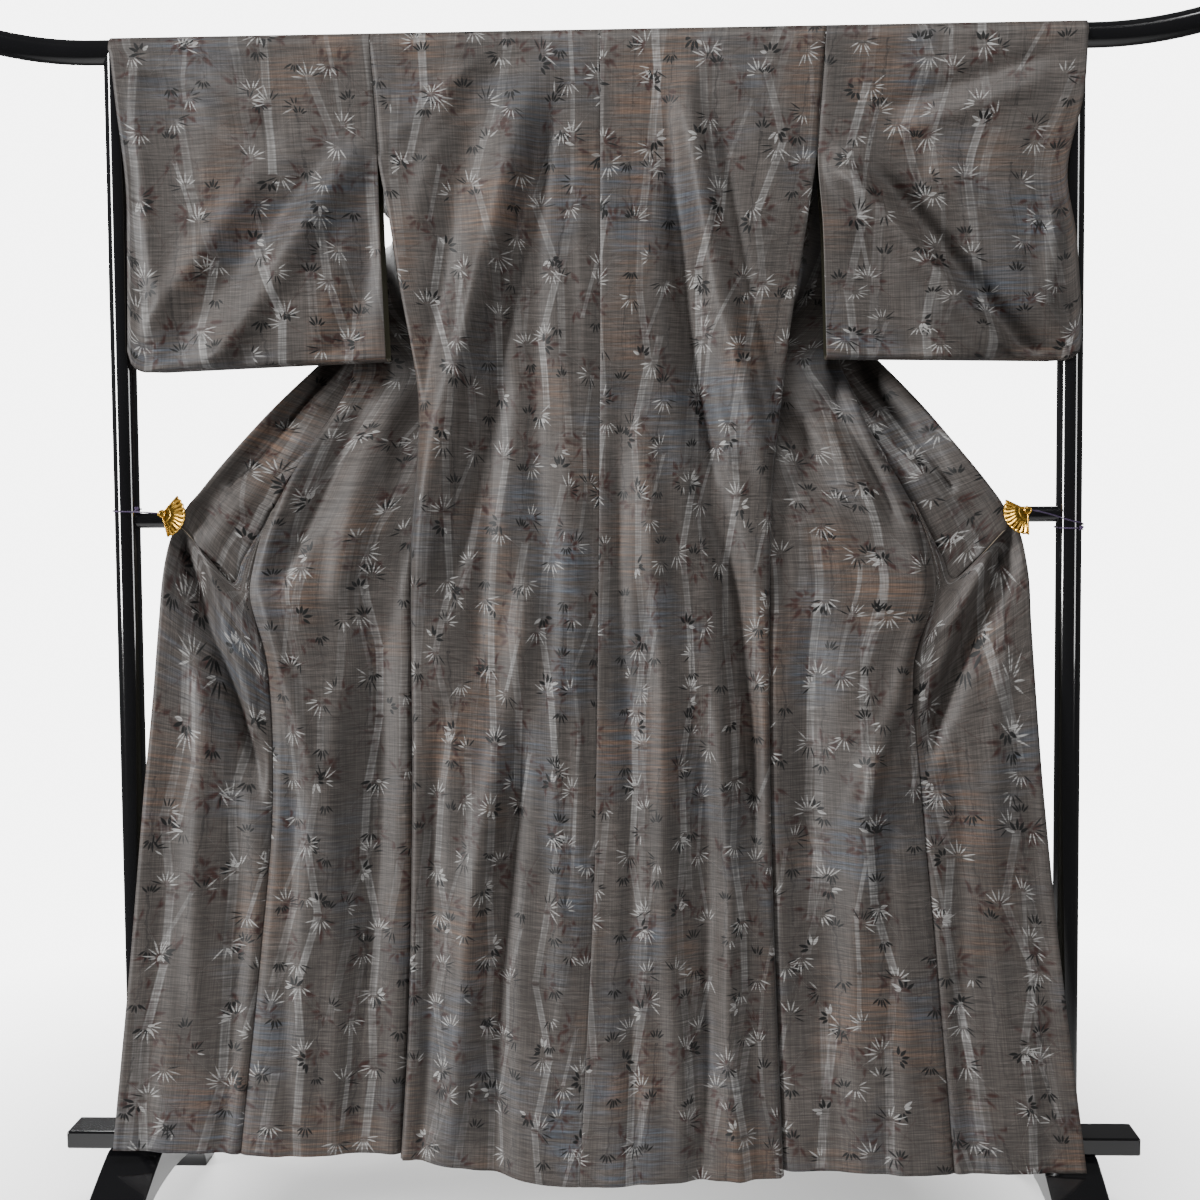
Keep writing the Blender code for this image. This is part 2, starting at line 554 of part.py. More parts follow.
def build_sleeve(side, material, collection):
    """A flat bag, open at the cuff and at the inner side below its seam."""
    near = [sleeve_layer_row(side, share, False) for share in SLEEVE_SHARES]
    far = [sleeve_layer_row(side, share, True) for share in reversed(SLEEVE_SHARES)]
    over = []
    for step in range(BEND_STEPS + 1):
        angle = pi * step / BEND_STEPS
        drop = BEND_RADIUS * (1.0 - sin(angle))
        inner_x = armhole_x(side, drop)
        inner_x += ARMHOLE_GAP if inner_x > 0 else -ARMHOLE_GAP
        outer_x = SLEEVE_OUTER_NEAR[side][0].x
        over.append([at_drop(blend(inner_x, outer_x, t), -BEND_RADIUS * cos(angle), drop)
                     for t in SLEEVE_COLUMNS])
    bottom = []
    for a, b in zip(near[0], far[-1]):
        middle = (a + b) / 2
        middle.z -= SLEEVE_HEM
        bottom.append(middle)
    rows = [bottom] + near + over + far + [[point.copy() for point in bottom]]
    bm = cloth_grid(rows)
    bmesh.ops.remove_doubles(bm, verts=bm.verts[:], dist=0.00001)
    return add_wall(add_mesh("sleeve_" + side, bm, material, collection), WALL)


# ----------------------------------------------------------------------- the stand
def tube_curve(name, points, radius, material, collection, resolution=4):
    """A round bar with closed ends along a list of points."""
    curve = bpy.data.curves.new(name, "CURVE")
    curve.dimensions = "3D"
    curve.bevel_depth = radius
    curve.bevel_resolution = resolution
    curve.use_fill_caps = True
    spline = curve.splines.new("POLY")
    spline.points.add(len(points) - 1)
    for spot, point in zip(spline.points, points):
        spot.co = (*point, 1.0)
    return add_object(name, curve, material, collection)


def build_beam(material, collection):
    """The top bar, straight over the garment, its ends swept up."""
    points = []
    steps = 32
    for n in range(steps + 1):
        x = blend(-BEAM_HALF, BEAM_HALF, n / steps)
        past = max(0.0, abs(x) - BEAM_STRAIGHT) / (BEAM_HALF - BEAM_STRAIGHT)
        points.append((x, 0.0, BEAM_Z + BEAM_RISE * past**2))
    return tube_curve("beam", points, BEAM_RADIUS, material, collection, resolution=8)


def cylinder(name, radius, depth, place, turn, material, collection, sides=36):
    bm = bmesh.new()
    bmesh.ops.create_cone(bm, cap_ends=True, segments=sides, radius1=radius, radius2=radius, depth=depth)
    piece = add_mesh(name, bm, material, collection)
    piece.location = place
    piece.rotation_euler = turn
    return piece


def cut_by(piece, cutter):
    cutter.hide_render = True
    cutter.display_type = "WIRE"
    cut = piece.modifiers.new("Saddle", "BOOLEAN")
    cut.operation = "DIFFERENCE"
    cut.object = cutter


def build_posts_and_rail(material, collection, cutters):
    """Two round posts fitted under the beam, and the rail between them."""
    beam_cutter = cylinder("beam_cutter", BEAM_RADIUS + FIT_GAP, 2 * BEAM_HALF, (0, 0, BEAM_Z),
                           (0, radians(90), 0), None, cutters, sides=48)
    foot = PLANK_BOTTOM + PLANK_SIZE[2] + FIT_GAP
    rail = cylinder("rail", RAIL_RADIUS, 2 * POST_X, (0, 0, RAIL_Z), (0, radians(90), 0),
                    material, collection, sides=28)
    for side, sign in (("left", -1), ("right", 1)):
        height = BEAM_Z - foot
        post = cylinder("post_" + side, POST_RADIUS, height, (sign * POST_X, 0, foot + height / 2),
                        (0, 0, 0), material, collection)
        cut_by(post, beam_cutter)
        post_cutter = cylinder("post_cutter_" + side, POST_RADIUS + FIT_GAP, 0.2,
                               (sign * POST_X, 0, RAIL_Z), (0, 0, 0), None, cutters, sides=48)
        cut_by(rail, post_cutter)


def build_plank(material, collection):
    bm = bmesh.new()
    bmesh.ops.create_cube(bm, size=1.0)
    bmesh.ops.scale(bm, vec=PLANK_SIZE, verts=bm.verts[:])
    plank = add_mesh("plank", bm, material, collection)
    plank.location = (0, 0, PLANK_BOTTOM + PLANK_SIZE[2] / 2)
    bevel = plank.modifiers.new("Edges", "BEVEL")
    bevel.width = 0.002
    bevel.segments = 2


def foot_outline():
    """Half of the foot's side view, from the middle of the top to the middle of the arch."""
    top = PLANK_BOTTOM - FIT_GAP
    outline = [(FOOT_SADDLE, top)]
    steps = 10
    for n in range(1, steps + 1):
        run = n / steps
        y = blend(FOOT_SADDLE, FOOT_HALF_LENGTH, run)
        outline.append((y, blend(top, TOE_HEIGHT, run**FOOT_SWEEP)))
    outline.append((FOOT_HALF_LENGTH + TOE_SPLAY, 0.0))
    inner = FOOT_HALF_LENGTH - TOE_LENGTH
    for n in range(steps + 1):
        angle = pi / 2 * n / steps
        outline.append((inner * cos(angle), ARCH_HEIGHT * sin(angle)))
    return outline


def build_foot(side, sign, material, collection):
    """An arched board that runs from front to back under one post."""
    half = foot_outline()
    outline = half + [(-y, z) for y, z in reversed(half[:-1])]
    bm = bmesh.new()
    corners = [bm.verts.new((-FOOT_WIDTH / 2, y, z)) for y, z in outline]
    face = bm.faces.new(corners)
    grown = bmesh.ops.extrude_face_region(bm, geom=[face])
    moved = [item for item in grown["geom"] if isinstance(item, bmesh.types.BMVert)]
    bmesh.ops.translate(bm, vec=(FOOT_WIDTH, 0, 0), verts=moved)
    bmesh.ops.recalc_face_normals(bm, faces=bm.faces[:])
    foot = add_mesh("foot_" + side, bm, material, collection)
    foot.location.x = sign * POST_X


# ------------------------------------------------------------------- clips and cords
def build_fan(side, material, collection):
    """A pleated folding fan with a round pin that reaches back to the jaw."""
    pivot_x, pivot_drop, first, last = FAN[side]
    centre = Vector((pivot_x, FAN_Y, SHOULDER_Z - pivot_drop))
    bm = bmesh.new()
    inner = bm.verts.new((FAN_HUB, 0, 0))
    outer = bm.verts.new((FAN_RADIUS, 0, 0))
    edge = bm.edges.new((inner, outer))
    steps = 2 * FAN_RIBS
    bmesh.ops.rotate(bm, verts=[inner, outer], cent=(0, 0, 0),
                     matrix=turn_in_plane(first))
    bmesh.ops.spin(bm, geom=[inner, outer, edge], cent=(0, 0, 0), axis=(0, -1, 0),
                   angle=last - first, steps=steps, use_duplicate=False)
    for vertex in bm.verts:
        angle = angle_between(first, vertex.co)
        rib = round((angle - first) / (last - first) * steps)
        reach = vertex.co.length / FAN_RADIUS
        vertex.co.y += FAN_PLEAT * (1 if rib % 2 else -1) * reach
    bmesh.ops.translate(bm, vec=centre, verts=bm.verts[:])
    fan = add_mesh("fan_" + side, bm, material, collection)
    add_wall(fan, FAN_WALL)
    pin_back = JAW_Y - JAW_SIZE[1] / 2 - FIT_GAP
    centre.y = (PIN_FRONT + pin_back) / 2
    pin = cylinder("fan_pin_" + side, PIN_RADIUS, pin_back - PIN_FRONT, centre, (radians(90), 0, 0),
                   material, collection, sides=20)
    bevel = pin.modifiers.new("Edges", "BEVEL")
    bevel.width = FIT_GAP
    bevel.segments = 1


def turn_in_plane(angle):
    return Matrix.Rotation(-angle, 3, "Y")


def angle_between(first, point):
    """Angle of a point in the upright plane, counted on from the first rib."""
    angle = atan2(point.z, point.x)
    while angle < first - 0.1:
        angle += 2 * pi
    return angle


def build_jaw(side, material, collection):
    """The clip's rear plate, behind the cloth."""
    pivot_x, pivot_drop, first, last = FAN[side]
    middle = (first + last) / 2
    reach = JAW_SIZE[0] / 2 - FAN_HUB
    bm = bmesh.new()
    bmesh.ops.create_cube(bm, size=1.0)
    bmesh.ops.scale(bm, vec=JAW_SIZE, verts=bm.verts[:])
    jaw = add_mesh("jaw_" + side, bm, material, collection)
    jaw.location = (pivot_x + reach * cos(middle), JAW_Y, SHOULDER_Z - pivot_drop + reach * sin(middle))
    jaw.rotation_euler = (0, -middle, 0)
    bevel = jaw.modifiers.new("Edges", "BEVEL")
    bevel.width = 0.0004
    bevel.segments = 1


def build_cord(side, material, collection):
    """The cord that ties a clip to its post, and its knot."""
    points = [Vector(point) for point in CORD_ROUTES[side]]
    length = sum((b - a).length for a, b in zip(points, points[1:]))
    count = ceil(length / (5 * CORD_RADIUS))
    route = curve_through(points, count)
    tube_curve("cord_" + side, route, CORD_RADIUS, material, collection, resolution=2)
    bm = bmesh.new()
    bmesh.ops.create_uvsphere(bm, u_segments=14, v_segments=8, radius=KNOT_RADIUS)
    bmesh.ops.scale(bm, vec=(1.0, 0.8, 1.1), verts=bm.verts[:])
    knot = add_mesh("knot_" + side, bm, material, collection)
    knot.location = KNOT_PLACES[side]


def main():
    for item in list(bpy.data.objects):
        bpy.data.objects.remove(item, do_unlink=True)
    parts = new_collection("silk_kimono_on_stand")
    cutters = new_collection("cutters")
    silk = new_material("woven_silk", (0.13, 0.115, 0.105), 0.62)
    lacquer = new_material("black_lacquer", (0.010, 0.010, 0.012), 0.12)
    gold = new_material("gold_plate", (0.72, 0.49, 0.16), 0.28, 1.0)
    braid = new_material("purple_cord", (0.045, 0.012, 0.085), 0.7)
    for side, sign in (("left", -1), ("right", 1)):
        build_body(side, silk, parts)
        build_overlap(side, silk, parts)
        build_sleeve(side, silk, parts)
        build_foot(side, sign, lacquer, parts)
        build_fan(side, gold, parts)
        build_jaw(side, gold, parts)
        build_cord(side, braid, parts)
    build_collar(silk, parts)
    build_beam(lacquer, parts)
    build_posts_and_rail(lacquer, parts, cutters)
    build_plank(lacquer, parts)


main()
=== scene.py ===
"""Silk kimono spread on a black lacquered kimono stand.

The cloth pieces are fine grids on the guide lines of the garment's cut, each one
a wall of silk outside and lining inside. "Drop" is the height below the shoulder
fold, the cloth's highest line, which lies over the stand's beam. The back hangs in
front of the beam (-Y) and the front lengths fall behind it. Metres, +Z up.
"""

from bisect import bisect_left
from collections import namedtuple
from functools import reduce
from math import atan2, cos, exp, pi, radians, sin, tau

import bmesh
import bpy
from bpy.props import FloatProperty, FloatVectorProperty, PointerProperty
from mathutils import Matrix, Vector, noise


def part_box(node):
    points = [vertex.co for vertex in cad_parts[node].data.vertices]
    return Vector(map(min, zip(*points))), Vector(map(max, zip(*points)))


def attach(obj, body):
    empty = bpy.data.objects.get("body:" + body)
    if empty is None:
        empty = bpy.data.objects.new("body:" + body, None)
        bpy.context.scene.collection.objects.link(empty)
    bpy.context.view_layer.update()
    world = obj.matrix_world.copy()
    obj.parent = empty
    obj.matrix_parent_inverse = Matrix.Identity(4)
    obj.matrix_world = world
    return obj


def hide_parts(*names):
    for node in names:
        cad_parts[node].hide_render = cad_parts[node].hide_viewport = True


bl_info = {
    "name": "Silk Kimono on a Stand",
    "version": (1, 0, 0),
    "blender": (4, 5, 0),
    "location": "View3D > Sidebar > Kimono",
    "description": "Builds a lined silk kimono spread on its lacquered stand",
    "category": "Add Mesh",
}

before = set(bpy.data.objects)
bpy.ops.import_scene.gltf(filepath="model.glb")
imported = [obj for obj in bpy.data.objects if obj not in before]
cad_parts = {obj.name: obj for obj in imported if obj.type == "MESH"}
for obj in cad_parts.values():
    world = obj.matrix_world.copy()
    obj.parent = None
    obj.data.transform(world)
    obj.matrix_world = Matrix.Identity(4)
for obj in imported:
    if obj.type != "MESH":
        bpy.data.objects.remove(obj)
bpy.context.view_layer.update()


def middle_of(node):
    low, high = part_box(node)
    return (low + high) / 2


def size_of(node):
    low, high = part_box(node)
    return high - low


# ------------------------------------------------------------------- stand sizes
BEAM_RADIUS = size_of("beam").y / 2
BEAM_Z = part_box("beam")[0].z + BEAM_RADIUS
BEAM_HALF = 0.93
BEAM_STRAIGHT = 0.70
BEAM_RISE = 0.045
POST_X = middle_of("post_right").x
POST_RADIUS = size_of("post_right").x / 2
POST_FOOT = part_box("post_right")[0].z
RAIL_Z = middle_of("rail").z
RAIL_RADIUS = size_of("rail").z / 2
FOOT_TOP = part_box("foot_right")[1].z
FOOT_WIDTH = size_of("foot_right").x
FOOT_REACH = size_of("foot_right").y / 2
FOOT_SADDLE = 0.036
FOOT_SWEEP = 1.12
TOE_LENGTH = 0.054
TOE_HEIGHT = 0.016
TOE_SPLAY = 0.004
ARCH_HEIGHT = 0.066
BEAM_END_ROUND = 0.006     # length over which the beam's ends are rounded
BEAM_END_SHARE = 0.30      # how much narrower its end face is
BAR_EDGE = 0.0015          # eased edges of round bars, feet and plank
FOOT_EDGE = 0.0025
PLANK_EDGE = 0.003

# ------------------------------------------------------------------- cloth sizes
BEND_RADIUS = 0.0192       # middle of the cloth's wall, over the beam
SHOULDER_Z = BEAM_Z + BEND_RADIUS
BEND_STEPS = 16
SEAM_GAP = 0.0004          # between two pieces that are sewn together
CENTRE_DIP = (0.0016, 0.006)   # depth and width of the groove beside a seam
OVERLAP_DIP = (0.0060, 0.008)
SIDE_DIP = (0.0110, 0.010)
ARMHOLE_DIP = (0.0045, 0.007)
TURNED_EDGE = (SIDE_DIP[0], 0.0055)   # the back's edge turns in to meet the front
ARMHOLE_GAP = 0.0008
CENTRE_X = 0.016           # the garment hangs a little to the right
ATTACH_DROP = 0.172        # sleeve and body are sewn together down to here
SIDE_SEAM_DROP = 0.37      # back and front are joined below this
SIDE_TUCK = 0.0025         # the front's side edge lies this far inside the back's
SIDE_STEP = 0.0003         # and this far behind it
STAND_OFF = 0.012          # metres from the beam's middle for each metre of drop
SLEEVE_BELLY = 0.004
SLEEVE_HEM = 0.003
SLEEVE_CORNER = 0.030
STEP_START = 0.86          # a sleeve's far layer steps forward from this share
STEP_LENGTH = 0.055
FOLD_START = 0.20          # shares of a fold's length over which it rises and fades
FOLD_FADE = 0.22
FOLD_REACH = 3.5           # widths from its line at which a fold is no longer felt
FOLD_WANDER = 0.35         # widths by which its line sways to and fro
FOLD_SWAYS = (9.0, 40.0)   # radians of that sway for a metre of drop, and of its own start
DIP_CURVE = 1.6            # how sharply a seam's groove closes
FLAT_EDGE = 0.12           # share of the back's width beside a seam where folds die away
FREE_EDGE = 0.05           # the same for ridges that run out at the side
BEND_FADE = 0.05           # folds begin within this drop below the beam
SLEEVE_FADE = 0.04         # the same for a sleeve, and above its hem
SLEEVE_FLAT = (0.05, 0.97, 0.07)   # share at the inner edge; where the cuff begins; its share
FAR_LAYER = 0.7            # a sleeve's far layer has its folds at this share of their height
FRONT_FLAT_EDGES = (0.10, 0.16)    # of the front's width, at its seam and at its side
STRIP_FLAT_EDGES = (0.15, 0.10)    # of the overlap's and the collar's width
ARMHOLE_END = (0.44, 0.10)         # drop where the side seams begin, and length of the change
OVERLAP_DIP_LENGTH = 0.08
FRONT_FIRST_DROP = 0.027
NECK_DROP = 0.036
COLLAR_FIRST_DROP = 0.040
NECK_SHARE = 0.3           # the front length starts at this share of the width
OVERLAP_DROP = 0.664
COLLAR_END_DROP = 0.771
COLLAR_CORNER = 0.787
RAIL_NEAR = 0.12           # the cloth keeps clear of the rail within this height
RAIL_CLEAR = -0.0215       # no trough goes further back than this plus the give
RAIL_GIVE = 0.0070
COLLAR_TUCK = Vector((0.0, 0.0012, -0.0040))   # the end's turned edge, behind the overlap
BACK_ROWS = 200
FRONT_ROWS = 210
OVERLAP_COLUMNS = 28
COLLAR_COLUMNS = 16
COLLAR_ROWS = (18, 110, 24)        # behind the neck, down the front, along the overlap
SLEEVE_ROWS = 90
BACK_SHARES = (1.0, 0.022)         # of the back's length, from the hem to the beam
SLEEVE_LAYER_SHARES = (0.992, 0.055)
SMOOTH = 180                       # degrees: cloth has no sharp edges

BODY_CUT = (0.335, 3.21)   # width and length of each piece before sewing
OVERLAP_CUT = (0.175, 0.93)
SLEEVE_CUT = (0.365, 0.95)
COLLAR_CUT = (0.078, 1.85)
CUT_START = {              # where each cut begins across the map, so no two share a figure
    "body_left": 0.0, "body_right": 2.0, "overlap_left": 4.0, "overlap_right": 6.0,
    "collar": 8.0, "sleeve_left": 10.0, "sleeve_right": 12.0}
RIPPLE_SEEDS = {"back": 1.0, "front": 4.0, "strip": 8.0, "sleeve_far": 12.0, "sleeve_near": 15.0}
RIPPLES = (                # waves a metre across and down, offset of the seed, height
    (13.0, 2.2, 4.0, 0.0040), (30.0, 4.5, 0.0, 0.0022), (62.0, 24.0, 9.0, 0.0006))

Line = namedtuple("Line", "drop x y")
Section = namedtuple("Section", "drop side_x side_y tuck_x tuck_y rim_x rim_y edge_x edge_y")
Edge = namedtuple("Edge", "at x y drop")
Fold = namedtuple("Fold", "start_drop start_x end_drop end_x width height")

CENTRE_SEAM = [
    Line(0.00, 0.016, -0.0192), Line(0.52, 0.012, -0.030), Line(1.15, 0.001, -0.048),
    Line(1.35, -0.008, -0.062), Line(1.62, -0.023, -0.094)]

BACK_SIDE = {
    "left": [
        Line(0.00, -0.308, -0.0192), Line(0.172, -0.298, -0.0213), Line(0.254, -0.284, -0.0240),
        Line(0.36, -0.268, -0.0265), Line(0.515, -0.245, -0.0290), Line(0.74, -0.259, -0.0320),
        Line(1.08, -0.261, -0.0410), Line(1.41, -0.270, -0.0540), Line(1.60, -0.281, -0.0680)],
    "right": [
        Line(0.00, 0.330, -0.0192), Line(0.172, 0.317, -0.0213), Line(0.284, 0.301, -0.0240),
        Line(0.42, 0.279, -0.0265), Line(0.547, 0.264, -0.0285), Line(0.66, 0.253, -0.0310),
        Line(0.94, 0.249, -0.0370), Line(1.26, 0.254, -0.0480), Line(1.62, 0.266, -0.0690)]}

BACK_HEM = {"centre": 1.624, "left": 1.597, "right": 1.619}

# Folds of the back, from the neck to the hem: ridges are positive, troughs negative.
BACK_FOLDS = [
    Fold(0.02, -0.084, 0.88, -0.280, 0.026, 0.0260),
    Fold(0.05, -0.046, 0.84, -0.218, 0.017, -0.0150),
    Fold(0.08, -0.150, 0.64, -0.280, 0.017, -0.0080),
    Fold(0.24, -0.146, 0.82, -0.238, 0.007, 0.0045),
    Fold(0.03, 0.112, 0.70, 0.262, 0.019, 0.0210),
    Fold(0.08, 0.094, 1.26, 0.252, 0.021, -0.0300),
    Fold(0.12, 0.172, 0.66, 0.262, 0.012, -0.0070),
    Fold(0.04, 0.000, 1.62, -0.028, 0.014, 0.0070),
    Fold(0.10, -0.076, 0.84, -0.076, 0.016, -0.0060),
    Fold(0.34, -0.030, 1.54, -0.056, 0.015, 0.0080),
    Fold(0.44, -0.118, 0.94, -0.172, 0.015, -0.0090),
    Fold(0.66, -0.078, 1.70, -0.236, 0.022, 0.0170),
    Fold(0.84, -0.114, 1.76, -0.152, 0.021, -0.0170),
    Fold(0.88, -0.210, 1.72, -0.262, 0.015, -0.0100),
    Fold(0.44, 0.034, 1.76, 0.062, 0.014, -0.0100),
    Fold(0.46, 0.074, 1.74, 0.130, 0.018, 0.0130),
    Fold(0.92, 0.152, 1.76, 0.150, 0.020, -0.0140),
    Fold(0.90, 0.174, 1.36, 0.192, 0.012, 0.0090),
    Fold(1.22, 0.184, 1.76, 0.214, 0.015, 0.0120),
    Fold(0.02, -0.124, 0.17, -0.300, 0.008, 0.0035),
    Fold(0.03, -0.100, 0.20, -0.270, 0.008, -0.0030),
    Fold(0.02, 0.150, 0.19, 0.335, 0.008, 0.0035),
    Fold(0.03, 0.190, 0.30, 0.295, 0.014, 0.0050),
    Fold(0.03, -0.180, 0.30, -0.250, 0.016, 0.0050)]

# Folds of the front lengths where they show beside the back.
FRONT_FOLDS = {
    "left": [
        Fold(0.44, -0.262, 0.84, -0.376, 0.024, 0.0130),
        Fold(0.48, -0.318, 0.82, -0.466, 0.017, -0.0150),
        Fold(0.52, -0.380, 0.80, -0.505, 0.011, 0.0080),
        Fold(0.793, -0.520, 0.802, -0.262, 0.006, 0.0026),
        Fold(0.74, -0.486, 1.10, -0.376, 0.014, 0.0090),
        Fold(0.78, -0.296, 1.44, -0.330, 0.018, -0.0080),
        Fold(0.86, -0.356, 1.70, -0.384, 0.020, 0.0100),
        Fold(0.98, -0.430, 1.70, -0.440, 0.016, -0.0080)],
    "right": [
        Fold(0.48, 0.262, 0.86, 0.524, 0.019, 0.0160),
        Fold(0.46, 0.310, 0.74, 0.444, 0.014, -0.0140),
        Fold(0.50, 0.346, 0.76, 0.482, 0.010, 0.0080),
        Fold(0.800, 0.280, 0.808, 0.500, 0.006, 0.0026),
        Fold(0.76, 0.490, 1.16, 0.346, 0.014, 0.0110),
        Fold(0.80, 0.320, 1.24, 0.288, 0.020, -0.0090),
        Fold(0.93, 0.390, 1.70, 0.352, 0.020, 0.0100),
        Fold(1.05, 0.420, 1.70, 0.408, 0.016, -0.0080)]}

# The front length in plan, from the side edge to the collar or overlap seam.
FRONT = {
    "left": [
        Section(0.0192, -0.308, 0.0192, -0.232, 0.0192, -0.157, 0.0192, -0.081, 0.0192),
        Section(0.080, -0.3034, 0.0202, -0.250, 0.034, -0.165, 0.040, -0.102, 0.026),
        Section(0.150, -0.2993, 0.0210, -0.282, 0.055, -0.205, 0.072, -0.144, 0.036),
        Section(0.172, -0.2980, 0.0213, -0.298, 0.059, -0.225, 0.081, -0.157, 0.040),
        Section(0.240, -0.2875, 0.0080, -0.302, 0.0635, -0.268, 0.0975, -0.197, 0.0525),
        Section(0.270, -0.2845, 0.0010, -0.273, 0.058, -0.278, 0.096, -0.2165, 0.0575),
        Section(0.296, -0.2815, -0.0050, -0.300, 0.058, -0.318, 0.100, -0.2325, 0.0615),
        Section(0.370, -0.2665, -0.0245, -0.283, 0.030, -0.352, 0.066, -0.277, 0.072),
        Section(0.415, -0.259, -0.0255, -0.250, 0.035, -0.350, 0.050, -0.304, 0.070),
        Section(0.460, -0.252, -0.0262, -0.212, 0.036, -0.345, 0.039, -0.331, 0.060),
        Section(0.510, -0.246, -0.0275, -0.208, 0.026, -0.356, 0.010, -0.361, 0.036),
        Section(0.580, -0.249, -0.0283, -0.226, 0.008, -0.399, -0.015, -0.403, 0.009),
        Section(0.640, -0.254, -0.0290, -0.238, -0.008, -0.434, -0.027, -0.4405, -0.012),
        Section(0.690, -0.257, -0.0298, -0.252, -0.0175, -0.452, -0.031, -0.4665, -0.021),
        Section(0.740, -0.259, -0.0305, -0.266, -0.019, -0.462, -0.034, -0.482, -0.027),
        Section(0.790, -0.2595, -0.0318, -0.285, -0.022, -0.440, -0.039, -0.489, -0.032),
        Section(0.900, -0.260, -0.0345, -0.312, -0.028, -0.405, -0.047, -0.466, -0.036),
        Section(1.080, -0.261, -0.0395, -0.330, -0.030, -0.400, -0.055, -0.461, -0.041),
        Section(1.300, -0.266, -0.0482, -0.340, -0.040, -0.412, -0.062, -0.480, -0.051),
        Section(1.590, -0.2805, -0.0660, -0.357, -0.060, -0.434, -0.078, -0.511, -0.070)],
    "right": [
        Section(0.0192, 0.330, 0.0192, 0.257, 0.0192, 0.183, 0.0192, 0.110, 0.0192),
        Section(0.080, 0.3238, 0.0202, 0.272, 0.034, 0.192, 0.042, 0.130, 0.026),
        Section(0.150, 0.3186, 0.0210, 0.295, 0.055, 0.230, 0.075, 0.168, 0.036),
        Section(0.172, 0.3170, 0.0213, 0.322, 0.059, 0.250, 0.083, 0.180, 0.040),
        Section(0.230, 0.307, 0.0120, 0.332, 0.064, 0.290, 0.100, 0.212, 0.050),
        Section(0.300, 0.298, -0.0060, 0.332, 0.058, 0.346, 0.100, 0.250, 0.062),
        Section(0.370, 0.2865, -0.0240, 0.304, 0.030, 0.366, 0.066, 0.2886, 0.072),
        Section(0.415, 0.279, -0.0249, 0.270, 0.035, 0.362, 0.050, 0.313, 0.070),
        Section(0.460, 0.2735, -0.0256, 0.234, 0.036, 0.352, 0.039, 0.338, 0.060),
        Section(0.510, 0.2675, -0.0265, 0.230, 0.026, 0.368, 0.010, 0.365, 0.036),
        Section(0.580, 0.260, -0.0277, 0.236, 0.008, 0.392, -0.015, 0.404, 0.009),
        Section(0.640, 0.2545, -0.0290, 0.240, -0.008, 0.424, -0.026, 0.4365, -0.012),
        Section(0.690, 0.252, -0.0300, 0.247, -0.0175, 0.446, -0.030, 0.461, -0.021),
        Section(0.740, 0.251, -0.0310, 0.257, -0.019, 0.452, -0.034, 0.476, -0.027),
        Section(0.790, 0.250, -0.0320, 0.272, -0.022, 0.430, -0.040, 0.481, -0.032),
        Section(0.900, 0.249, -0.0345, 0.294, -0.028, 0.388, -0.047, 0.451, -0.036),
        Section(1.080, 0.2495, -0.0400, 0.312, -0.030, 0.388, -0.055, 0.462, -0.041),
        Section(1.300, 0.2555, -0.0485, 0.325, -0.040, 0.402, -0.062, 0.481, -0.052),
        Section(1.610, 0.266, -0.0670, 0.345, -0.062, 0.425, -0.080, 0.505, -0.072)]}

# Outer edge of the overlap, by the drop of the same row at its seam: along the
# collar's seam, along the collar's end, then down the front edge.
OVERLAP = {
    "left": [
        Edge(0.664, -0.4582, -0.0172, 0.6640), Edge(0.690, -0.4720, -0.0215, 0.6920),
        Edge(0.740, -0.4990, -0.0275, 0.7400), Edge(0.790, -0.5158, -0.0300, 0.7718),
        Edge(0.820, -0.5520, -0.0286, 0.7320), Edge(0.850, -0.5885, -0.0275, 0.6920),
        Edge(0.875, -0.6015, -0.0275, 0.7060), Edge(0.900, -0.6135, -0.0285, 0.7520),
        Edge(0.940, -0.6210, -0.0320, 0.8250), Edge(0.990, -0.6310, -0.0360, 0.9350),
        Edge(1.080, -0.6450, -0.0410, 1.0650), Edge(1.300, -0.6670, -0.0510, 1.3000),
        Edge(1.590, -0.6940, -0.0720, 1.5840)],
    "right": [
        Edge(0.664, 0.4527, -0.0172, 0.6640), Edge(0.690, 0.4660, -0.0215, 0.6920),
        Edge(0.740, 0.4905, -0.0275, 0.7400), Edge(0.790, 0.5088, -0.0300, 0.7718),
        Edge(0.820, 0.5480, -0.0286, 0.7360), Edge(0.850, 0.5865, -0.0275, 0.6975),
        Edge(0.875, 0.6000, -0.0275, 0.7120), Edge(0.900, 0.6110, -0.0285, 0.7660),
        Edge(0.940, 0.6145, -0.0320, 0.8330), Edge(0.990, 0.6220, -0.0360, 0.9450),
        Edge(1.080, 0.6320, -0.0410, 1.0750), Edge(1.300, 0.6540, -0.0520, 1.3000),
        Edge(1.610, 0.6890, -0.0740, 1.6060)]}

OVERLAP_FOLDS = {
    "left": [
        Fold(0.64, -0.606, 1.12, -0.466, 0.020, -0.0280),
        Fold(0.72, -0.560, 1.04, -0.470, 0.012, 0.0100),
        Fold(0.69, -0.576, 0.84, -0.490, 0.009, 0.0080),
        Fold(0.78, -0.560, 1.50, -0.572, 0.016, 0.0080),
        Fold(0.90, -0.500, 1.70, -0.540, 0.016, -0.0080),
        Fold(0.95, -0.610, 1.70, -0.650, 0.016, -0.0050)],
    "right": [
        Fold(0.66, 0.604, 1.08, 0.446, 0.020, -0.0280),
        Fold(0.72, 0.556, 1.00, 0.446, 0.012, 0.0100),
        Fold(0.71, 0.574, 0.86, 0.480, 0.009, 0.0080),
        Fold(0.78, 0.566, 1.50, 0.570, 0.016, 0.0080),
        Fold(0.90, 0.500, 1.70, 0.536, 0.016, -0.0080),
        Fold(0.95, 0.606, 1.70, 0.646, 0.016, -0.0050)]}

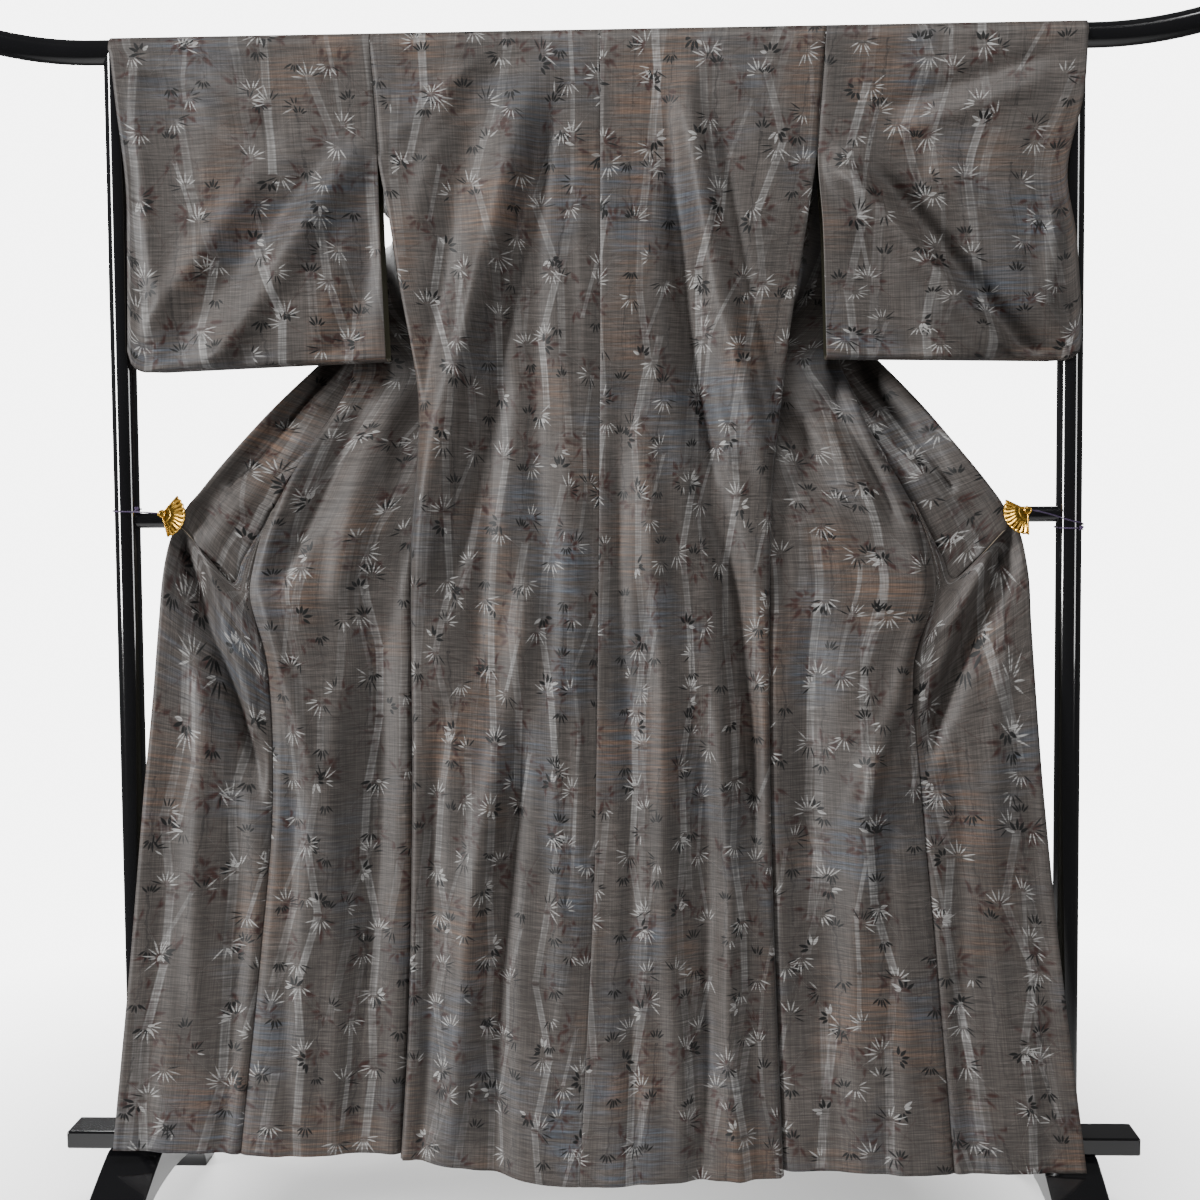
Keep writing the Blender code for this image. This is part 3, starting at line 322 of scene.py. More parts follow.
# Free edge of the collar. "at" is the drop of the same row at its seam, and behind
# the neck it is minus the distance from the neck's corner.
COLLAR = {
    "left": [
        Edge(-0.097, 0.0160, 0.0340, 0.0900), Edge(-0.040, -0.0280, 0.0360, 0.0900),
        Edge(0.000, -0.0520, 0.0420, 0.0860), Edge(0.080, -0.0690, 0.0600, 0.1060),
        Edge(0.150, -0.1080, 0.0800, 0.1640), Edge(0.230, -0.1700, 0.1030, 0.2380),
        Edge(0.300, -0.2360, 0.1190, 0.2960), Edge(0.370, -0.2930, 0.1220, 0.3560),
        Edge(0.460, -0.3800, 0.0860, 0.4340), Edge(0.545, -0.4590, 0.0280, 0.5180),
        Edge(0.640, -0.5280, -0.0140, 0.6020), Edge(0.690, -0.5600, -0.0235, 0.6430),
        Edge(0.740, -0.5790, -0.0265, 0.6660), Edge(0.771, -0.5880, -0.0275, 0.6900)],
    "right": [
        Edge(-0.094, 0.0160, 0.0340, 0.0900), Edge(-0.040, 0.0590, 0.0360, 0.0900),
        Edge(0.000, 0.0820, 0.0420, 0.0860), Edge(0.080, 0.0980, 0.0600, 0.1060),
        Edge(0.150, 0.1340, 0.0800, 0.1640), Edge(0.230, 0.1920, 0.1030, 0.2380),
        Edge(0.300, 0.2520, 0.1190, 0.2960), Edge(0.370, 0.3060, 0.1220, 0.3560),
        Edge(0.460, 0.3870, 0.0860, 0.4340), Edge(0.545, 0.4600, 0.0280, 0.5170),
        Edge(0.640, 0.5280, -0.0140, 0.6040), Edge(0.690, 0.5600, -0.0235, 0.6460),
        Edge(0.740, 0.5770, -0.0265, 0.6720), Edge(0.771, 0.5855, -0.0275, 0.6960)]}
COLLAR_FOLDS = {
    "left": [
        Fold(0.40, -0.330, 0.72, -0.606, 0.016, -0.0230),
        Fold(0.40, -0.372, 0.67, -0.590, 0.010, 0.0060),
        Fold(0.56, -0.410, 0.74, -0.560, 0.012, 0.0050)],
    "right": [
        Fold(0.44, 0.345, 0.72, 0.570, 0.016, -0.0200),
        Fold(0.40, 0.372, 0.67, 0.590, 0.010, 0.0050),
        Fold(0.58, 0.420, 0.74, 0.555, 0.012, 0.0050)]}

# Sleeve edges: inner edge beside the body, outer edge of each layer.
SLEEVE_INNER = {
    "left": [
        Line(0.0, -0.308, 0), Line(0.172, -0.298, 0), Line(0.28, -0.2955, 0),
        Line(0.47, -0.289, 0)],
    "right": [
        Line(0.0, 0.330, 0), Line(0.172, 0.317, 0), Line(0.282, 0.324, 0),
        Line(0.47, 0.329, 0)]}
SLEEVE_OUTER_NEAR = {
    "left": [
        Line(0.00, -0.678, -0.0192), Line(0.10, -0.668, -0.0208), Line(0.207, -0.6565, -0.0222),
        Line(0.30, -0.6565, -0.0225), Line(0.47, -0.660, -0.0225)],
    "right": [
        Line(0.00, 0.690, -0.0192), Line(0.10, 0.684, -0.0208), Line(0.207, 0.6615, -0.0222),
        Line(0.30, 0.675, -0.0225), Line(0.47, 0.686, -0.0225)]}
SLEEVE_OUTER_FAR = {
    "left": [
        Line(0.00, -0.678, 0.0192), Line(0.08, -0.665, 0.0230), Line(0.15, -0.645, 0.0200),
        Line(0.20, -0.636, 0.0080), Line(0.24, -0.640, -0.0120), Line(0.28, -0.654, -0.0199),
        Line(0.34, -0.6575, -0.0201), Line(0.47, -0.660, -0.0201)],
    "right": [
        Line(0.00, 0.690, 0.0192), Line(0.08, 0.676, 0.0230), Line(0.15, 0.650, 0.0215),
        Line(0.20, 0.636, 0.0080), Line(0.24, 0.640, -0.0120), Line(0.28, 0.662, -0.0199),
        Line(0.34, 0.678, -0.0201), Line(0.47, 0.686, -0.0201)]}
SLEEVE_BOTTOM = {"left": (0.460, 0.474), "right": (0.463, 0.470)}   # inner, outer
SLEEVE_FOLDS = {
    "left": [
        Fold(0.13, -0.292, 0.53, -0.600, 0.022, 0.0190),
        Fold(0.15, -0.345, 0.50, -0.640, 0.020, -0.0085),
        Fold(0.17, -0.440, 0.45, -0.680, 0.018, 0.0100),
        Fold(0.30, -0.420, 0.50, -0.590, 0.010, -0.0050),
        Fold(0.04, -0.668, 0.40, -0.606, 0.016, 0.0090),
        Fold(0.02, -0.660, 0.13, -0.440, 0.018, 0.0080),
        Fold(0.05, -0.650, 0.17, -0.420, 0.018, -0.0060),
        Fold(0.22, -0.282, 0.54, -0.400, 0.024, -0.0100)],
    "right": [
        Fold(0.16, 0.320, 0.51, 0.605, 0.017, 0.0360),
        Fold(0.18, 0.378, 0.52, 0.662, 0.017, -0.0170),
        Fold(0.13, 0.460, 0.48, 0.690, 0.017, 0.0100),
        Fold(0.08, 0.676, 0.42, 0.622, 0.015, 0.0090),
        Fold(0.13, 0.400, 0.04, 0.660, 0.015, -0.0080),
        Fold(0.17, 0.400, 0.08, 0.660, 0.015, 0.0060),
        Fold(0.28, 0.345, 0.54, 0.500, 0.026, -0.0090)]}

# ------------------------------------------------------------- clip and tie sizes
FAN = {  # pivot x and drop, first and last rib angle in the plane of the cloth
    "left": (-0.612, 0.673, radians(-76), radians(47)),
    "right": (0.608, 0.677, radians(155), radians(272))}
FAN_Y = -0.0345
FAN_HUB = 0.005
FAN_RIBS = 10
FAN_STEPS_PER_RIB = 8
FAN_PLEAT = 0.0011
FAN_WALL = 0.0009
FAN_PLATE = (0.0122, 0.001)        # radius of the embossed plate and width of its edge
FAN_PLATE_RELIEF = 0.00025
FAN_PLATE_WAVES = 1400.0
FAN_RIM = (0.0132, 0.0006, 0.0007)     # radius, width and height of the rim line
FAN_LEAF = (0.0142, 0.010)         # radius where the pleats begin, and length of their rise
FAN_SCALLOP = 0.030
GUARD_RADIUS = 0.0011
GUARD_LIFT = 0.0006
GUARD_STICK = (            # distance from the pivot and share of the radius
    (0.0048, 0.7), (0.006, 1.0), (0.012, 1.0), (0.022, 1.1), (0.032, 1.2), (0.0345, 0.8))
EYE_RADIUS = 0.0046
EYE_LIFT = 0.0012
PIN_SHARE = 0.82           # of the pin in the frame, which fills its hole
FAN_RINGS = (0.0050, 0.0065, 0.0080, 0.0095, 0.0110, 0.0122, 0.0128, 0.0136, 0.0142, 0.0150,
             0.0200, 0.0260, 0.0310, 0.0340)
JAW_Y = -0.0225
JAW_SIZE = (0.033, 0.0012, 0.010)
CORD_RADIUS = 0.0011
CORD_STRANDS = 3
CORD_TWIST = 0.0042        # length of one turn of a strand
CORD_STEPS = 260
KNOT_LOOP = 0.00085        # size of the knot's trefoil
KNOT_STEPS = 72
KNOT_STRAND = 0.0009
TAIL_STRAND = 0.0008
TAIL_TILTS = (-0.5, 0.35)  # how far the two ends below the knot point aside
TAIL_REACH = (0.006, 0.0006, -0.0035)
CORD_ROUTES = {  # x, y, z from the fan's eye once round the post to the knot
    "left": [
        (-0.6170, -0.0345, 1.0390), (-0.6300, -0.0335, 1.0400), (-0.6450, -0.0290, 1.0408),
        (-0.6600, -0.0225, 1.0412), (-0.6740, -0.0198, 1.0415), (-0.6870, -0.0130, 1.0420),
        (-0.6918, 0.0000, 1.0426), (-0.6870, 0.0130, 1.0432), (-0.6740, 0.0198, 1.0438),
        (-0.6600, 0.0157, 1.0444), (-0.6524, 0.0030, 1.0448), (-0.6535, -0.0090, 1.0450)],
    "right": [
        (0.6130, -0.0345, 1.0345), (0.6260, -0.0330, 1.0320), (0.6420, -0.0285, 1.0280),
        (0.6580, -0.0225, 1.0230), (0.6720, -0.0200, 1.0190), (0.6850, -0.0150, 1.0160),
        (0.6920, 0.0000, 1.0135), (0.6850, 0.0152, 1.0125), (0.6720, 0.0200, 1.0115),
        (0.6570, 0.0132, 1.0105), (0.6522, 0.0000, 1.0098), (0.6570, -0.0134, 1.0090),
        (0.6700, -0.0200, 1.0085), (0.6810, -0.0180, 1.0085)]}

FLOOR_RADIUS = 4.0
FLOOR_FADE = (0.48, 0.12)  # shares of the radius where the floor has gone and is whole
LENS = 54.0
SENSOR_WIDTH = 36.0
SOFTBOXES = (              # place, height aimed at, width and height, share of the key's power
    ("left", (-6.2, -3.2, 2.0), 0.95, (1.1, 3.2), 1.0),
    ("right", (4.6, -3.2, 1.8), 0.95, (0.9, 3.0), 0.12),
    ("top", (0.0, -1.8, 4.0), 0.8, (2.4, 1.0), 0.14),
    ("back", (-1.6, 3.6, 2.6), 0.9, (2.4, 1.6), 0.28))
CAMERA_PLACE = (0.1141, -2.5683, 1.0710)
CAMERA_TILT = radians(86.415)
CAMERA_TURN = radians(2.348)
CAMERA_ROLL = radians(-0.454)
SIDES = (("left", -1), ("right", 1))
SIGN = dict(SIDES)


# ----------------------------------------------------------------- reading guides
class Guide:
    """Smooth curves through the rows of a table, read by its key column."""

    def __init__(self, rows, key):
        self.keys = [getattr(row, key) for row in rows]
        self.columns = {name: [getattr(row, name) for row in rows] for name in rows[0]._fields}

    def read(self, name, at):
        return smooth_value(self.keys, self.columns[name], at)


def smooth_value(keys, values, at):
    """Value at a key on a smooth curve through the values."""
    at = min(max(at, keys[0]), keys[-1])
    last = len(keys) - 1
    i = min(max(bisect_left(keys, at) - 1, 0), last - 1)
    before, after = max(i - 1, 0), min(i + 2, last)
    step = keys[i + 1] - keys[i]
    start = (values[i + 1] - values[before]) / (keys[i + 1] - keys[before])
    end = (values[after] - values[i]) / (keys[after] - keys[i])
    t = (at - keys[i]) / step
    rise = (2 * t**3 - 3 * t**2 + 1) * values[i] + (3 * t**2 - 2 * t**3) * values[i + 1]
    return rise + step * ((t**3 - 2 * t**2 + t) * start + (t**3 - t**2) * end)


CENTRE_GUIDE = Guide(CENTRE_SEAM, "drop")
BACK_GUIDE = {side: Guide(rows, "drop") for side, rows in BACK_SIDE.items()}
FRONT_GUIDE = {side: Guide(rows, "drop") for side, rows in FRONT.items()}
OVERLAP_GUIDE = {side: Guide(rows, "at") for side, rows in OVERLAP.items()}
COLLAR_GUIDE = {side: Guide(rows, "at") for side, rows in COLLAR.items()}
INNER_GUIDE = {side: Guide(rows, "drop") for side, rows in SLEEVE_INNER.items()}
NEAR_GUIDE = {side: Guide(rows, "drop") for side, rows in SLEEVE_OUTER_NEAR.items()}
FAR_GUIDE = {side: Guide(rows, "drop") for side, rows in SLEEVE_OUTER_FAR.items()}


def blend(a, b, t):
    return a + (b - a) * t


def ease(t):
    t = min(max(t, 0.0), 1.0)
    return t * t * (3 - 2 * t)


def spread(start, end, count):
    return [blend(start, end, n / (count - 1)) for n in range(count)]


def side_hump(t, edges):
    """1 in the middle of a row's share t, falling to 0 over each end's share."""
    return ease(t / edges[0]) * ease((1.0 - t) / edges[1])


def at_drop(x, y, drop):
    return Vector((x, y, SHOULDER_Z - drop))


def curve_through(points, shares, fine=12):
    """Points at shares of the length of a smooth curve through the given ones."""
    keys = [0.0]
    for a, b in zip(points, points[1:]):
        keys.append(keys[-1] + (b - a).length)
    total = fine * (len(points) - 1)
    axes = [[point[axis] for point in points] for axis in range(3)]
    dense = [Vector([smooth_value(keys, axis, keys[-1] * n / total) for axis in axes])
             for n in range(total + 1)]
    runs = [0.0]
    for a, b in zip(dense, dense[1:]):
        runs.append(runs[-1] + (b - a).length)
    placed = []
    for share in shares:
        at = runs[-1] * share
        i = min(max(bisect_left(runs, at) - 1, 0), total - 1)
        placed.append(dense[i].lerp(dense[i + 1], (at - runs[i]) / (runs[i + 1] - runs[i])))
    return placed


def pull_in(points, start, end):
    """The same row of points with its two ends drawn back from their seams."""
    first = points[0] + (points[1] - points[0]).normalized() * start
    last = points[-1] + (points[-2] - points[-1]).normalized() * end
    return [first] + points[1:-1] + [last]


def flat_y(drop):
    return BEND_RADIUS + STAND_OFF * max(0.0, drop - BEND_RADIUS)


def armhole_x(side, drop):
    """The straight line on which body and sleeve are sewn together."""
    top, bottom = BACK_SIDE[side][0], BACK_SIDE[side][1]
    return blend(top.x, bottom.x, drop / ATTACH_DROP)


def fold_height(folds, x, drop):
    """How far folds lift the cloth towards the viewer at a place."""
    lift = 0.0
    for fold in folds:
        run_x, run_drop = fold.end_x - fold.start_x, fold.end_drop - fold.start_drop
        length = (run_x * run_x + run_drop * run_drop) ** 0.5
        off_x, off_drop = x - fold.start_x, drop - fold.start_drop
        run = (off_x * run_x + off_drop * run_drop) / (length * length)
        if 0.0 < run < 1.0:
            wander = FOLD_WANDER * sin(FOLD_SWAYS[0] * drop + FOLD_SWAYS[1] * fold.start_x)
            across = (off_x * run_drop - off_drop * run_x) / length / fold.width + wander
            if abs(across) < FOLD_REACH:
                fade = ease(run / FOLD_START) * ease((1.0 - run) / FOLD_FADE)
                lift += fold.height * fade * exp(-across * across)
    return lift


def ripple(x, drop, place):
    """Small uneven waves that run down the cloth, finer ones across it."""
    seed = RIPPLE_SEEDS[place]
    return sum(height * noise.noise((x * across, drop * down, seed + offset))
               for across, down, offset, height in RIPPLES)


def clear_of_rail(y, drop):
    """Ease a trough off so that it stays in front of the rail."""
    near = ease(1.0 - abs(SHOULDER_Z - RAIL_Z - drop) / RAIL_NEAR)
    past = y - RAIL_CLEAR
    if near == 0.0 or past <= 0.0:
        return y
    return blend(y, RAIL_CLEAR + RAIL_GIVE * (1.0 - exp(-past / RAIL_GIVE)), near)


# ---------------------------------------------------------------------- mesh tools
def link_object(name, data):
    made = bpy.data.objects.new(name, data)
    bpy.context.scene.collection.objects.link(made)
    return made


def add_mesh(name, bm, materials, sharp=40):
    """A finished mesh object at the origin, smooth, with its materials."""
    mesh = bpy.data.meshes.new(name)
    bm.to_mesh(mesh)
    bm.free()
    for material in materials:
        mesh.materials.append(material)
    mesh.shade_smooth()
    mesh.set_sharp_from_angle(angle=radians(sharp))
    return link_object(name, mesh)


def add_bevel(piece, width, segments=3):
    bevel = piece.modifiers.new("Edges", "BEVEL")
    bevel.width = width
    bevel.segments = segments
    bevel.limit_method = "ANGLE"
    bevel.angle_limit = radians(35)


def finish_piece(piece, slot, *nodes):
    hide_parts(*nodes)
    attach(piece, "root")
    return piece


def cloth_grid(rows, across, along, keep=None):
    """A grid of cloth placed on rows of points, with its cut as a UV map in metres."""
    columns = len(rows[0]) - 1
    last = len(rows) - 1
    bm = bmesh.new()
    bmesh.ops.create_grid(bm, x_segments=columns, y_segments=last, size=1.0)
    spot = {}
    for vertex in bm.verts:
        column = round((vertex.co.x + 1.0) / 2.0 * columns)
        row = round((vertex.co.y + 1.0) / 2.0 * last)
        spot[vertex] = (column, row)
    cut_map = bm.loops.layers.uv.new("Cut")
    dropped = []
    for face in bm.faces:
        for loop in face.loops:
            column, row = spot[loop.vert]
            loop[cut_map].uv = (across[column], along[row])
        column = min(spot[vertex][0] for vertex in face.verts)
        row = min(spot[vertex][1] for vertex in face.verts)
        if keep and not keep(column, row):
            dropped.append(face)
    for vertex, (column, row) in spot.items():
        vertex.co = rows[row][column]
    bmesh.ops.delete(bm, geom=dropped, context="FACES")
    return bm


def lengths_along(rows, column):
    """Distance from the first row, measured on one column."""
    along = [0.0]
    for a, b in zip(rows, rows[1:]):
        along.append(along[-1] + (b[column] - a[column]).length)
    return along


def add_wall(piece, thickness, lined):
    wall = piece.modifiers.new("Wall", "SOLIDIFY")
    wall.thickness = thickness
    wall.offset = 0.0
    wall.use_quality_normals = True
    if lined:
        wall.material_offset = 1
        wall.material_offset_rim = 2
    return piece


def edges_of(verts):
    """The edges that meet at these vertices, each once and always in the same order."""
    return list(dict.fromkeys(edge for vertex in verts for edge in vertex.link_edges))


def sweep(bm, points, radius, sides, taper=None):
    """A closed round bar along points; taper gives each point's share of the radius."""
    turns = []
    heading = (points[1] - points[0]).normalized()
    turn = heading.to_track_quat("Z", "X")
    for n, point in enumerate(points):
        ahead = (points[min(n + 1, len(points) - 1)] - points[max(n - 1, 0)]).normalized()
        turn = heading.rotation_difference(ahead) @ turn
        heading = ahead
        size = radius * (taper[n] if taper else 1.0)
        turns.append(Matrix.LocRotScale(point, turn, (size, size, size)))
    ring = bmesh.ops.create_circle(bm, cap_ends=True, segments=sides, radius=1.0, matrix=turns[0])
    edges = edges_of(ring["verts"])
    for before, after in zip(turns, turns[1:]):
        grown = bmesh.ops.extrude_edge_only(bm, edges=edges)["geom"]
        verts = [item for item in grown if isinstance(item, bmesh.types.BMVert)]
        edges = [item for item in grown if isinstance(item, bmesh.types.BMEdge)]
        bmesh.ops.transform(bm, matrix=after @ before.inverted(), verts=verts)
    bmesh.ops.contextual_create(bm, geom=edges)


def closed(bm):
    bmesh.ops.recalc_face_normals(bm, faces=bm.faces[:])
    return bm


# ------------------------------------------------------------------- shader writing
class Shader:
    """A short way to write a material's nodes, one method for each kind."""

    def __init__(self, tree):
        self.tree = tree

    def node(self, kind, inputs=(), **settings):
        made = self.tree.nodes.new("ShaderNode" + kind)
        for name, value in settings.items():
            setattr(made, name, value)
        for socket, value in dict(inputs).items():
            self.feed(made.inputs[socket], value)
        return made

    def feed(self, socket, value):
        if isinstance(value, bpy.types.NodeSocket):
            self.tree.links.new(value, socket)
        else:
            socket.default_value = value

    def math(self, operation, a, b=0.0, c=0.0, clamp=False):
        made = self.node("Math", {0: a, 1: b, 2: c}, operation=operation, use_clamp=clamp)
        return made.outputs[0]

    def times(self, a, b):
        return self.math("MULTIPLY", a, b)

    def plus(self, a, b, clamp=False):
        return self.math("ADD", a, b, clamp=clamp)

    def minus(self, a, b):
        return self.math("SUBTRACT", a, b)

    def scaled(self, a, gain, base, clamp=False):
        """a times gain, plus base."""
        return self.math("MULTIPLY_ADD", a, gain, base, clamp=clamp)

    def vector(self, operation, a, b=(0.0, 0.0, 0.0)):
        return self.node("VectorMath", {0: a, 1: b}, operation=operation).outputs[0]

    def parts(self, vector):
        return self.node("SeparateXYZ", {0: vector}).outputs

    def join(self, x=0.0, y=0.0, z=0.0):
        return self.node("CombineXYZ", {0: x, 1: y, 2: z}).outputs[0]

    def chance(self, vector):
        """An even random value and a random colour for each whole-number vector."""
        made = self.node("TexWhiteNoise", {"Vector": vector}, noise_dimensions="3D")
        return made.outputs["Value"], made.outputs["Color"]

    def cloud(self, vector, scale, detail=1.0, roughness=0.5):
        """Soft noise from 0 to 1; scale is (x, y) on cloth or (x, y, z) in waves a metre."""
        kind = f"{len(scale)}D"
        stretched = self.vector("MULTIPLY", vector, (*scale, 1.0)[:3])
        made = self.node("TexNoise", {"Vector": stretched, "Scale": 1.0, "Detail": detail,
                                      "Roughness": roughness}, noise_dimensions=kind)
        return made.outputs["Fac"]

    def step(self, value, low, high):
        """0 below low, 1 above high, even between them."""
        made = self.node("MapRange", {"Value": value, "From Min": low, "From Max": high})
        return made.outputs["Result"]

    def mix(self, share, a, b, kind="MIX"):
        made = self.node("Mix", data_type="RGBA", blend_type=kind, clamp_factor=True)
        self.feed(made.inputs[0], share)
        self.feed(made.inputs[6], a)
        self.feed(made.inputs[7], b)
        return made.outputs[2]


def new_group(name, inputs, outputs):
    """An empty node group; Cut, Local and Tag are vectors and every other socket a number."""
    tree = bpy.data.node_groups.new(name, "ShaderNodeTree")
    for way, labels in (("INPUT", inputs), ("OUTPUT", outputs)):
        for label in labels:
            kind = "NodeSocketVector" if label in ("Cut", "Local", "Tag") else "NodeSocketFloat"
            tree.interface.new_socket(label, in_out=way, socket_type=kind)
    enter = tree.nodes.new("NodeGroupInput")
    leave = tree.nodes.new("NodeGroupOutput")
    return tree, Shader(tree), enter.outputs, leave.inputs


def culm_place(s, given):
    """The point's column, its place across that column, and its height counted in runs."""
    u, v, _ = s.parts(given["Cut"])
    grown = s.plus(s.math("DIVIDE", u, given["Column"]), s.times(given["Seed"], COLUMN_SHIFT))
    column = s.math("FLOOR", grown)
    x = s.times(s.minus(s.minus(grown, column), 0.5), given["Column"])
    start, _ = s.chance(s.join(column, 0.5, given["Seed"]))
    height = s.plus(s.math("DIVIDE", v, given["Run"]), s.times(start, RUN_SHIFT))
    return column, x, height


def off_centre(s, given, x, lean):
    """Distance of the point from a centre line that leans by a random share."""
    return s.minus(x, s.times(s.minus(lean, 0.5), given["Sway"]))


def either_way(s, luck):
    """-1 or 1, by a random value."""
    return s.scaled(s.math("GREATER_THAN", luck, 0.5), 2.0, -1.0)


def make_joint_group():
    """How far a point lies from the nearest joint of a culm, and that joint's own number."""
    tree, s, given, result = new_group(
        "Culm joint", ("Cut", "Column", "Run", "Seed", "Sway"), ("Local", "Tag"))
    column, x, height = culm_place(s, given)
    joint = s.math("ROUND", height)
    lean, _ = s.chance(s.join(column, joint, given["Seed"]))
    off = off_centre(s, given, x, lean)
    above = s.times(s.minus(height, joint), given["Run"])
    tree.links.new(s.join(off, above), result[0])
    tree.links.new(s.join(column, joint, given["Seed"]), result[1])
    return tree


def make_spray_group():
    """A fan of pointed leaves beside a joint, some leaves pale and some dark."""
    tree, s, given, result = new_group(
        "Leaf spray", ("Local", "Tag", *SPRAY_LABELS), ("Pale", "Dark"))
    tag = s.vector("ADD", given["Tag"], s.join(0.0, 0.0, given["Salt"]))
    luck, colour = s.chance(tag)
    red, green, blue = s.parts(colour)
    centre = s.join(s.times(s.scaled(red, 2.0, -1.0), given["Aside"]),
                    s.times(s.scaled(green, 2.0, -1.0), given["Above"]))
    local = s.vector("SUBTRACT", given["Local"], centre)
    other, other_colour = s.chance(s.vector("ADD", tag, SECOND_DRAW))
    tone, _, side = s.parts(other_colour)
    lean = s.times(s.minus(other, 0.5), given["Lean"])
    turned = s.node("VectorRotate", {"Vector": local, "Angle": lean}, rotation_type="Z_AXIS")
    x, y, _ = s.parts(turned.outputs[0])
    y = s.times(y, either_way(s, blue))
    angle = s.math("ARCTAN2", x, y)
    radius = s.math("SQRT", s.plus(s.times(x, x), s.times(y, y)))
    leaf = s.math("ROUND", s.math("DIVIDE", angle, given["Spacing"]))
    leaf = s.math("MINIMUM", s.math("MAXIMUM", leaf, s.times(given["Leaves"], -1.0)),
                  given["Leaves"])
    own, own_colour = s.chance(
        s.vector("ADD", tag, s.join(0.0, 0.0, s.plus(leaf, LEAF_DRAW))))
    jitter = s.times(s.minus(s.parts(own_colour)[0], 0.5), s.times(given["Spacing"], LEAF_STRAY))
    bearing = s.plus(s.times(leaf, given["Spacing"]), jitter)
    bend = s.minus(angle, bearing)
    across = s.times(radius, s.math("SINE", bend))
    along = s.times(radius, s.math("COSINE", bend))
    reach = s.times(given["Length"], s.scaled(own, *LEAF_LENGTHS))
    start = s.times(given["Length"], LEAF_STALK)
    t = s.math("DIVIDE", s.minus(along, start), s.minus(reach, start), clamp=True)
    shape = s.times(s.math("POWER", t, LEAF_WIDENS), s.minus(1.0, t))
    half = s.times(given["Width"], s.scaled(shape, *LEAF_WIDTHS))
    room = s.minus(half, s.math("ABSOLUTE", across))
    inside = s.plus(s.math("DIVIDE", room, given["Soft"]), 0.5, clamp=True)
    present = s.times(s.math("LESS_THAN", luck, given["Share"]),
                      s.math("GREATER_THAN", along, 0.0))
    mask = s.times(inside, present)
    spread_out = s.math("DIVIDE", s.times(leaf, either_way(s, side)), given["Leaves"])
    weight = s.scaled(s.minus(tone, 0.5), TONE_BY_DRAW, s.times(spread_out, TONE_BY_SIDE))
    dark = s.math("GREATER_THAN", weight, given["Balance"])
    tree.links.new(s.times(mask, s.minus(1.0, dark)), result[0])
    tree.links.new(s.times(mask, dark), result[1])
    return tree


def make_culm_group():
    """Upright culms in columns: straight runs between nodes that lean to and fro."""
    tree, s, given, result = new_group(
        "Bamboo culm", ("Cut", *CULM_LABELS), ("Mask", "Node"))
    column, x, height = culm_place(s, given)
    run = s.math("FLOOR", height)
    share = s.minus(height, run)
    low, low_colour = s.chance(s.join(column, run, given["Seed"]))
    high, _ = s.chance(s.join(column, s.plus(run, 1.0), given["Seed"]))
    off = off_centre(s, given, x, s.scaled(s.minus(high, low), share, low))
    from_end = s.times(s.math("PINGPONG", share, 0.5), given["Run"])
    flare = s.scaled(s.step(from_end, *FLARE_LENGTH), FLARE, given["Half"])
    room = s.minus(flare, s.math("ABSOLUTE", off))
    across = s.scaled(room, 1.0 / CULM_EDGE, 0.5, clamp=True)
    gap = s.step(from_end, given["Gap"], s.plus(given["Gap"], GAP_EDGE))
    red, green, _ = s.parts(low_colour)
    present = s.math("LESS_THAN", red, given["Share"])
    strength = s.times(present, s.scaled(green, *CULM_STRENGTHS))
    edge = s.step(s.math("ABSOLUTE", off), s.times(given["Half"], CULM_CORE), given["Half"])
    body = s.times(s.times(across, gap), s.scaled(edge, *CULM_RIM))
    tree.links.new(s.times(body, strength), result[0])
    ring = s.times(s.step(from_end, *NODE_RING), across)
    tree.links.new(s.times(ring, strength), result[1])
    return tree


def new_material(name):
    material = bpy.data.materials.new(name)
    material.use_nodes = True
    shader = Shader(material.node_tree)
    surface = material.node_tree.nodes["Principled BSDF"]
    return material, shader, surface


def dull(surface, roughness, sheen=0.0):
    surface.inputs["Roughness"].default_value = roughness
    surface.inputs["Sheen Weight"].default_value = sheen


def toned(colour, share):
    """A colour made darker or lighter by a share, ready for a socket."""
    return (*(share * part for part in colour), 1.0)


def add_bump(shader, surface, height, strength, distance):
    made = shader.node("Bump", {"Height": height, "Strength": strength, "Distance": distance})
    shader.feed(surface.inputs["Normal"], made.outputs[0])


# The bamboo figure, in metres on the cut.
COLUMN_SHIFT = 2.37        # columns by which each whole seed moves the culms aside
RUN_SHIFT = 7.0            # runs by which a column may start higher
FLARE = 0.0009             # a culm is this much wider at its nodes, over this length
FLARE_LENGTH = (0.006, 0.001)
CULM_EDGE = 0.0026         # soft edge of a culm
GAP_EDGE = 0.0008          # soft edge of the gap between two runs
CULM_STRENGTHS = (0.70, 0.30)  # gain and base of a run's strength
CULM_CORE = 0.55           # share of its half width that is fainter than its rim
CULM_RIM = (0.55, 0.45)    # gain and base from core to rim
NODE_RING = (0.0040, 0.0026)   # distances from a run's end at which its dark ring starts
SECOND_DRAW = (7.0, 3.0, 11.0)     # added to a spray's number to draw again for it
LEAF_DRAW = 31.0           # the same for its leaves
LEAF_STRAY = 0.50          # share of the spacing over which a leaf strays
LEAF_LENGTHS = (0.36, 0.66)    # gain and base of a leaf's length
LEAF_STALK = 0.22          # share of the length before the leaf begins
LEAF_WIDENS = 0.7          # power with which it widens from its stalk
LEAF_WIDTHS = (2.4, -0.10)
TONE_BY_DRAW = 1.2         # a leaf is pale or dark by its spray's draw
TONE_BY_SIDE = 0.8         # and by its side of the fan
SPRAY_LABELS = ("Salt", "Aside", "Above", "Length", "Width", "Spacing", "Leaves", "Share", "Lean",
                "Soft", "Balance")
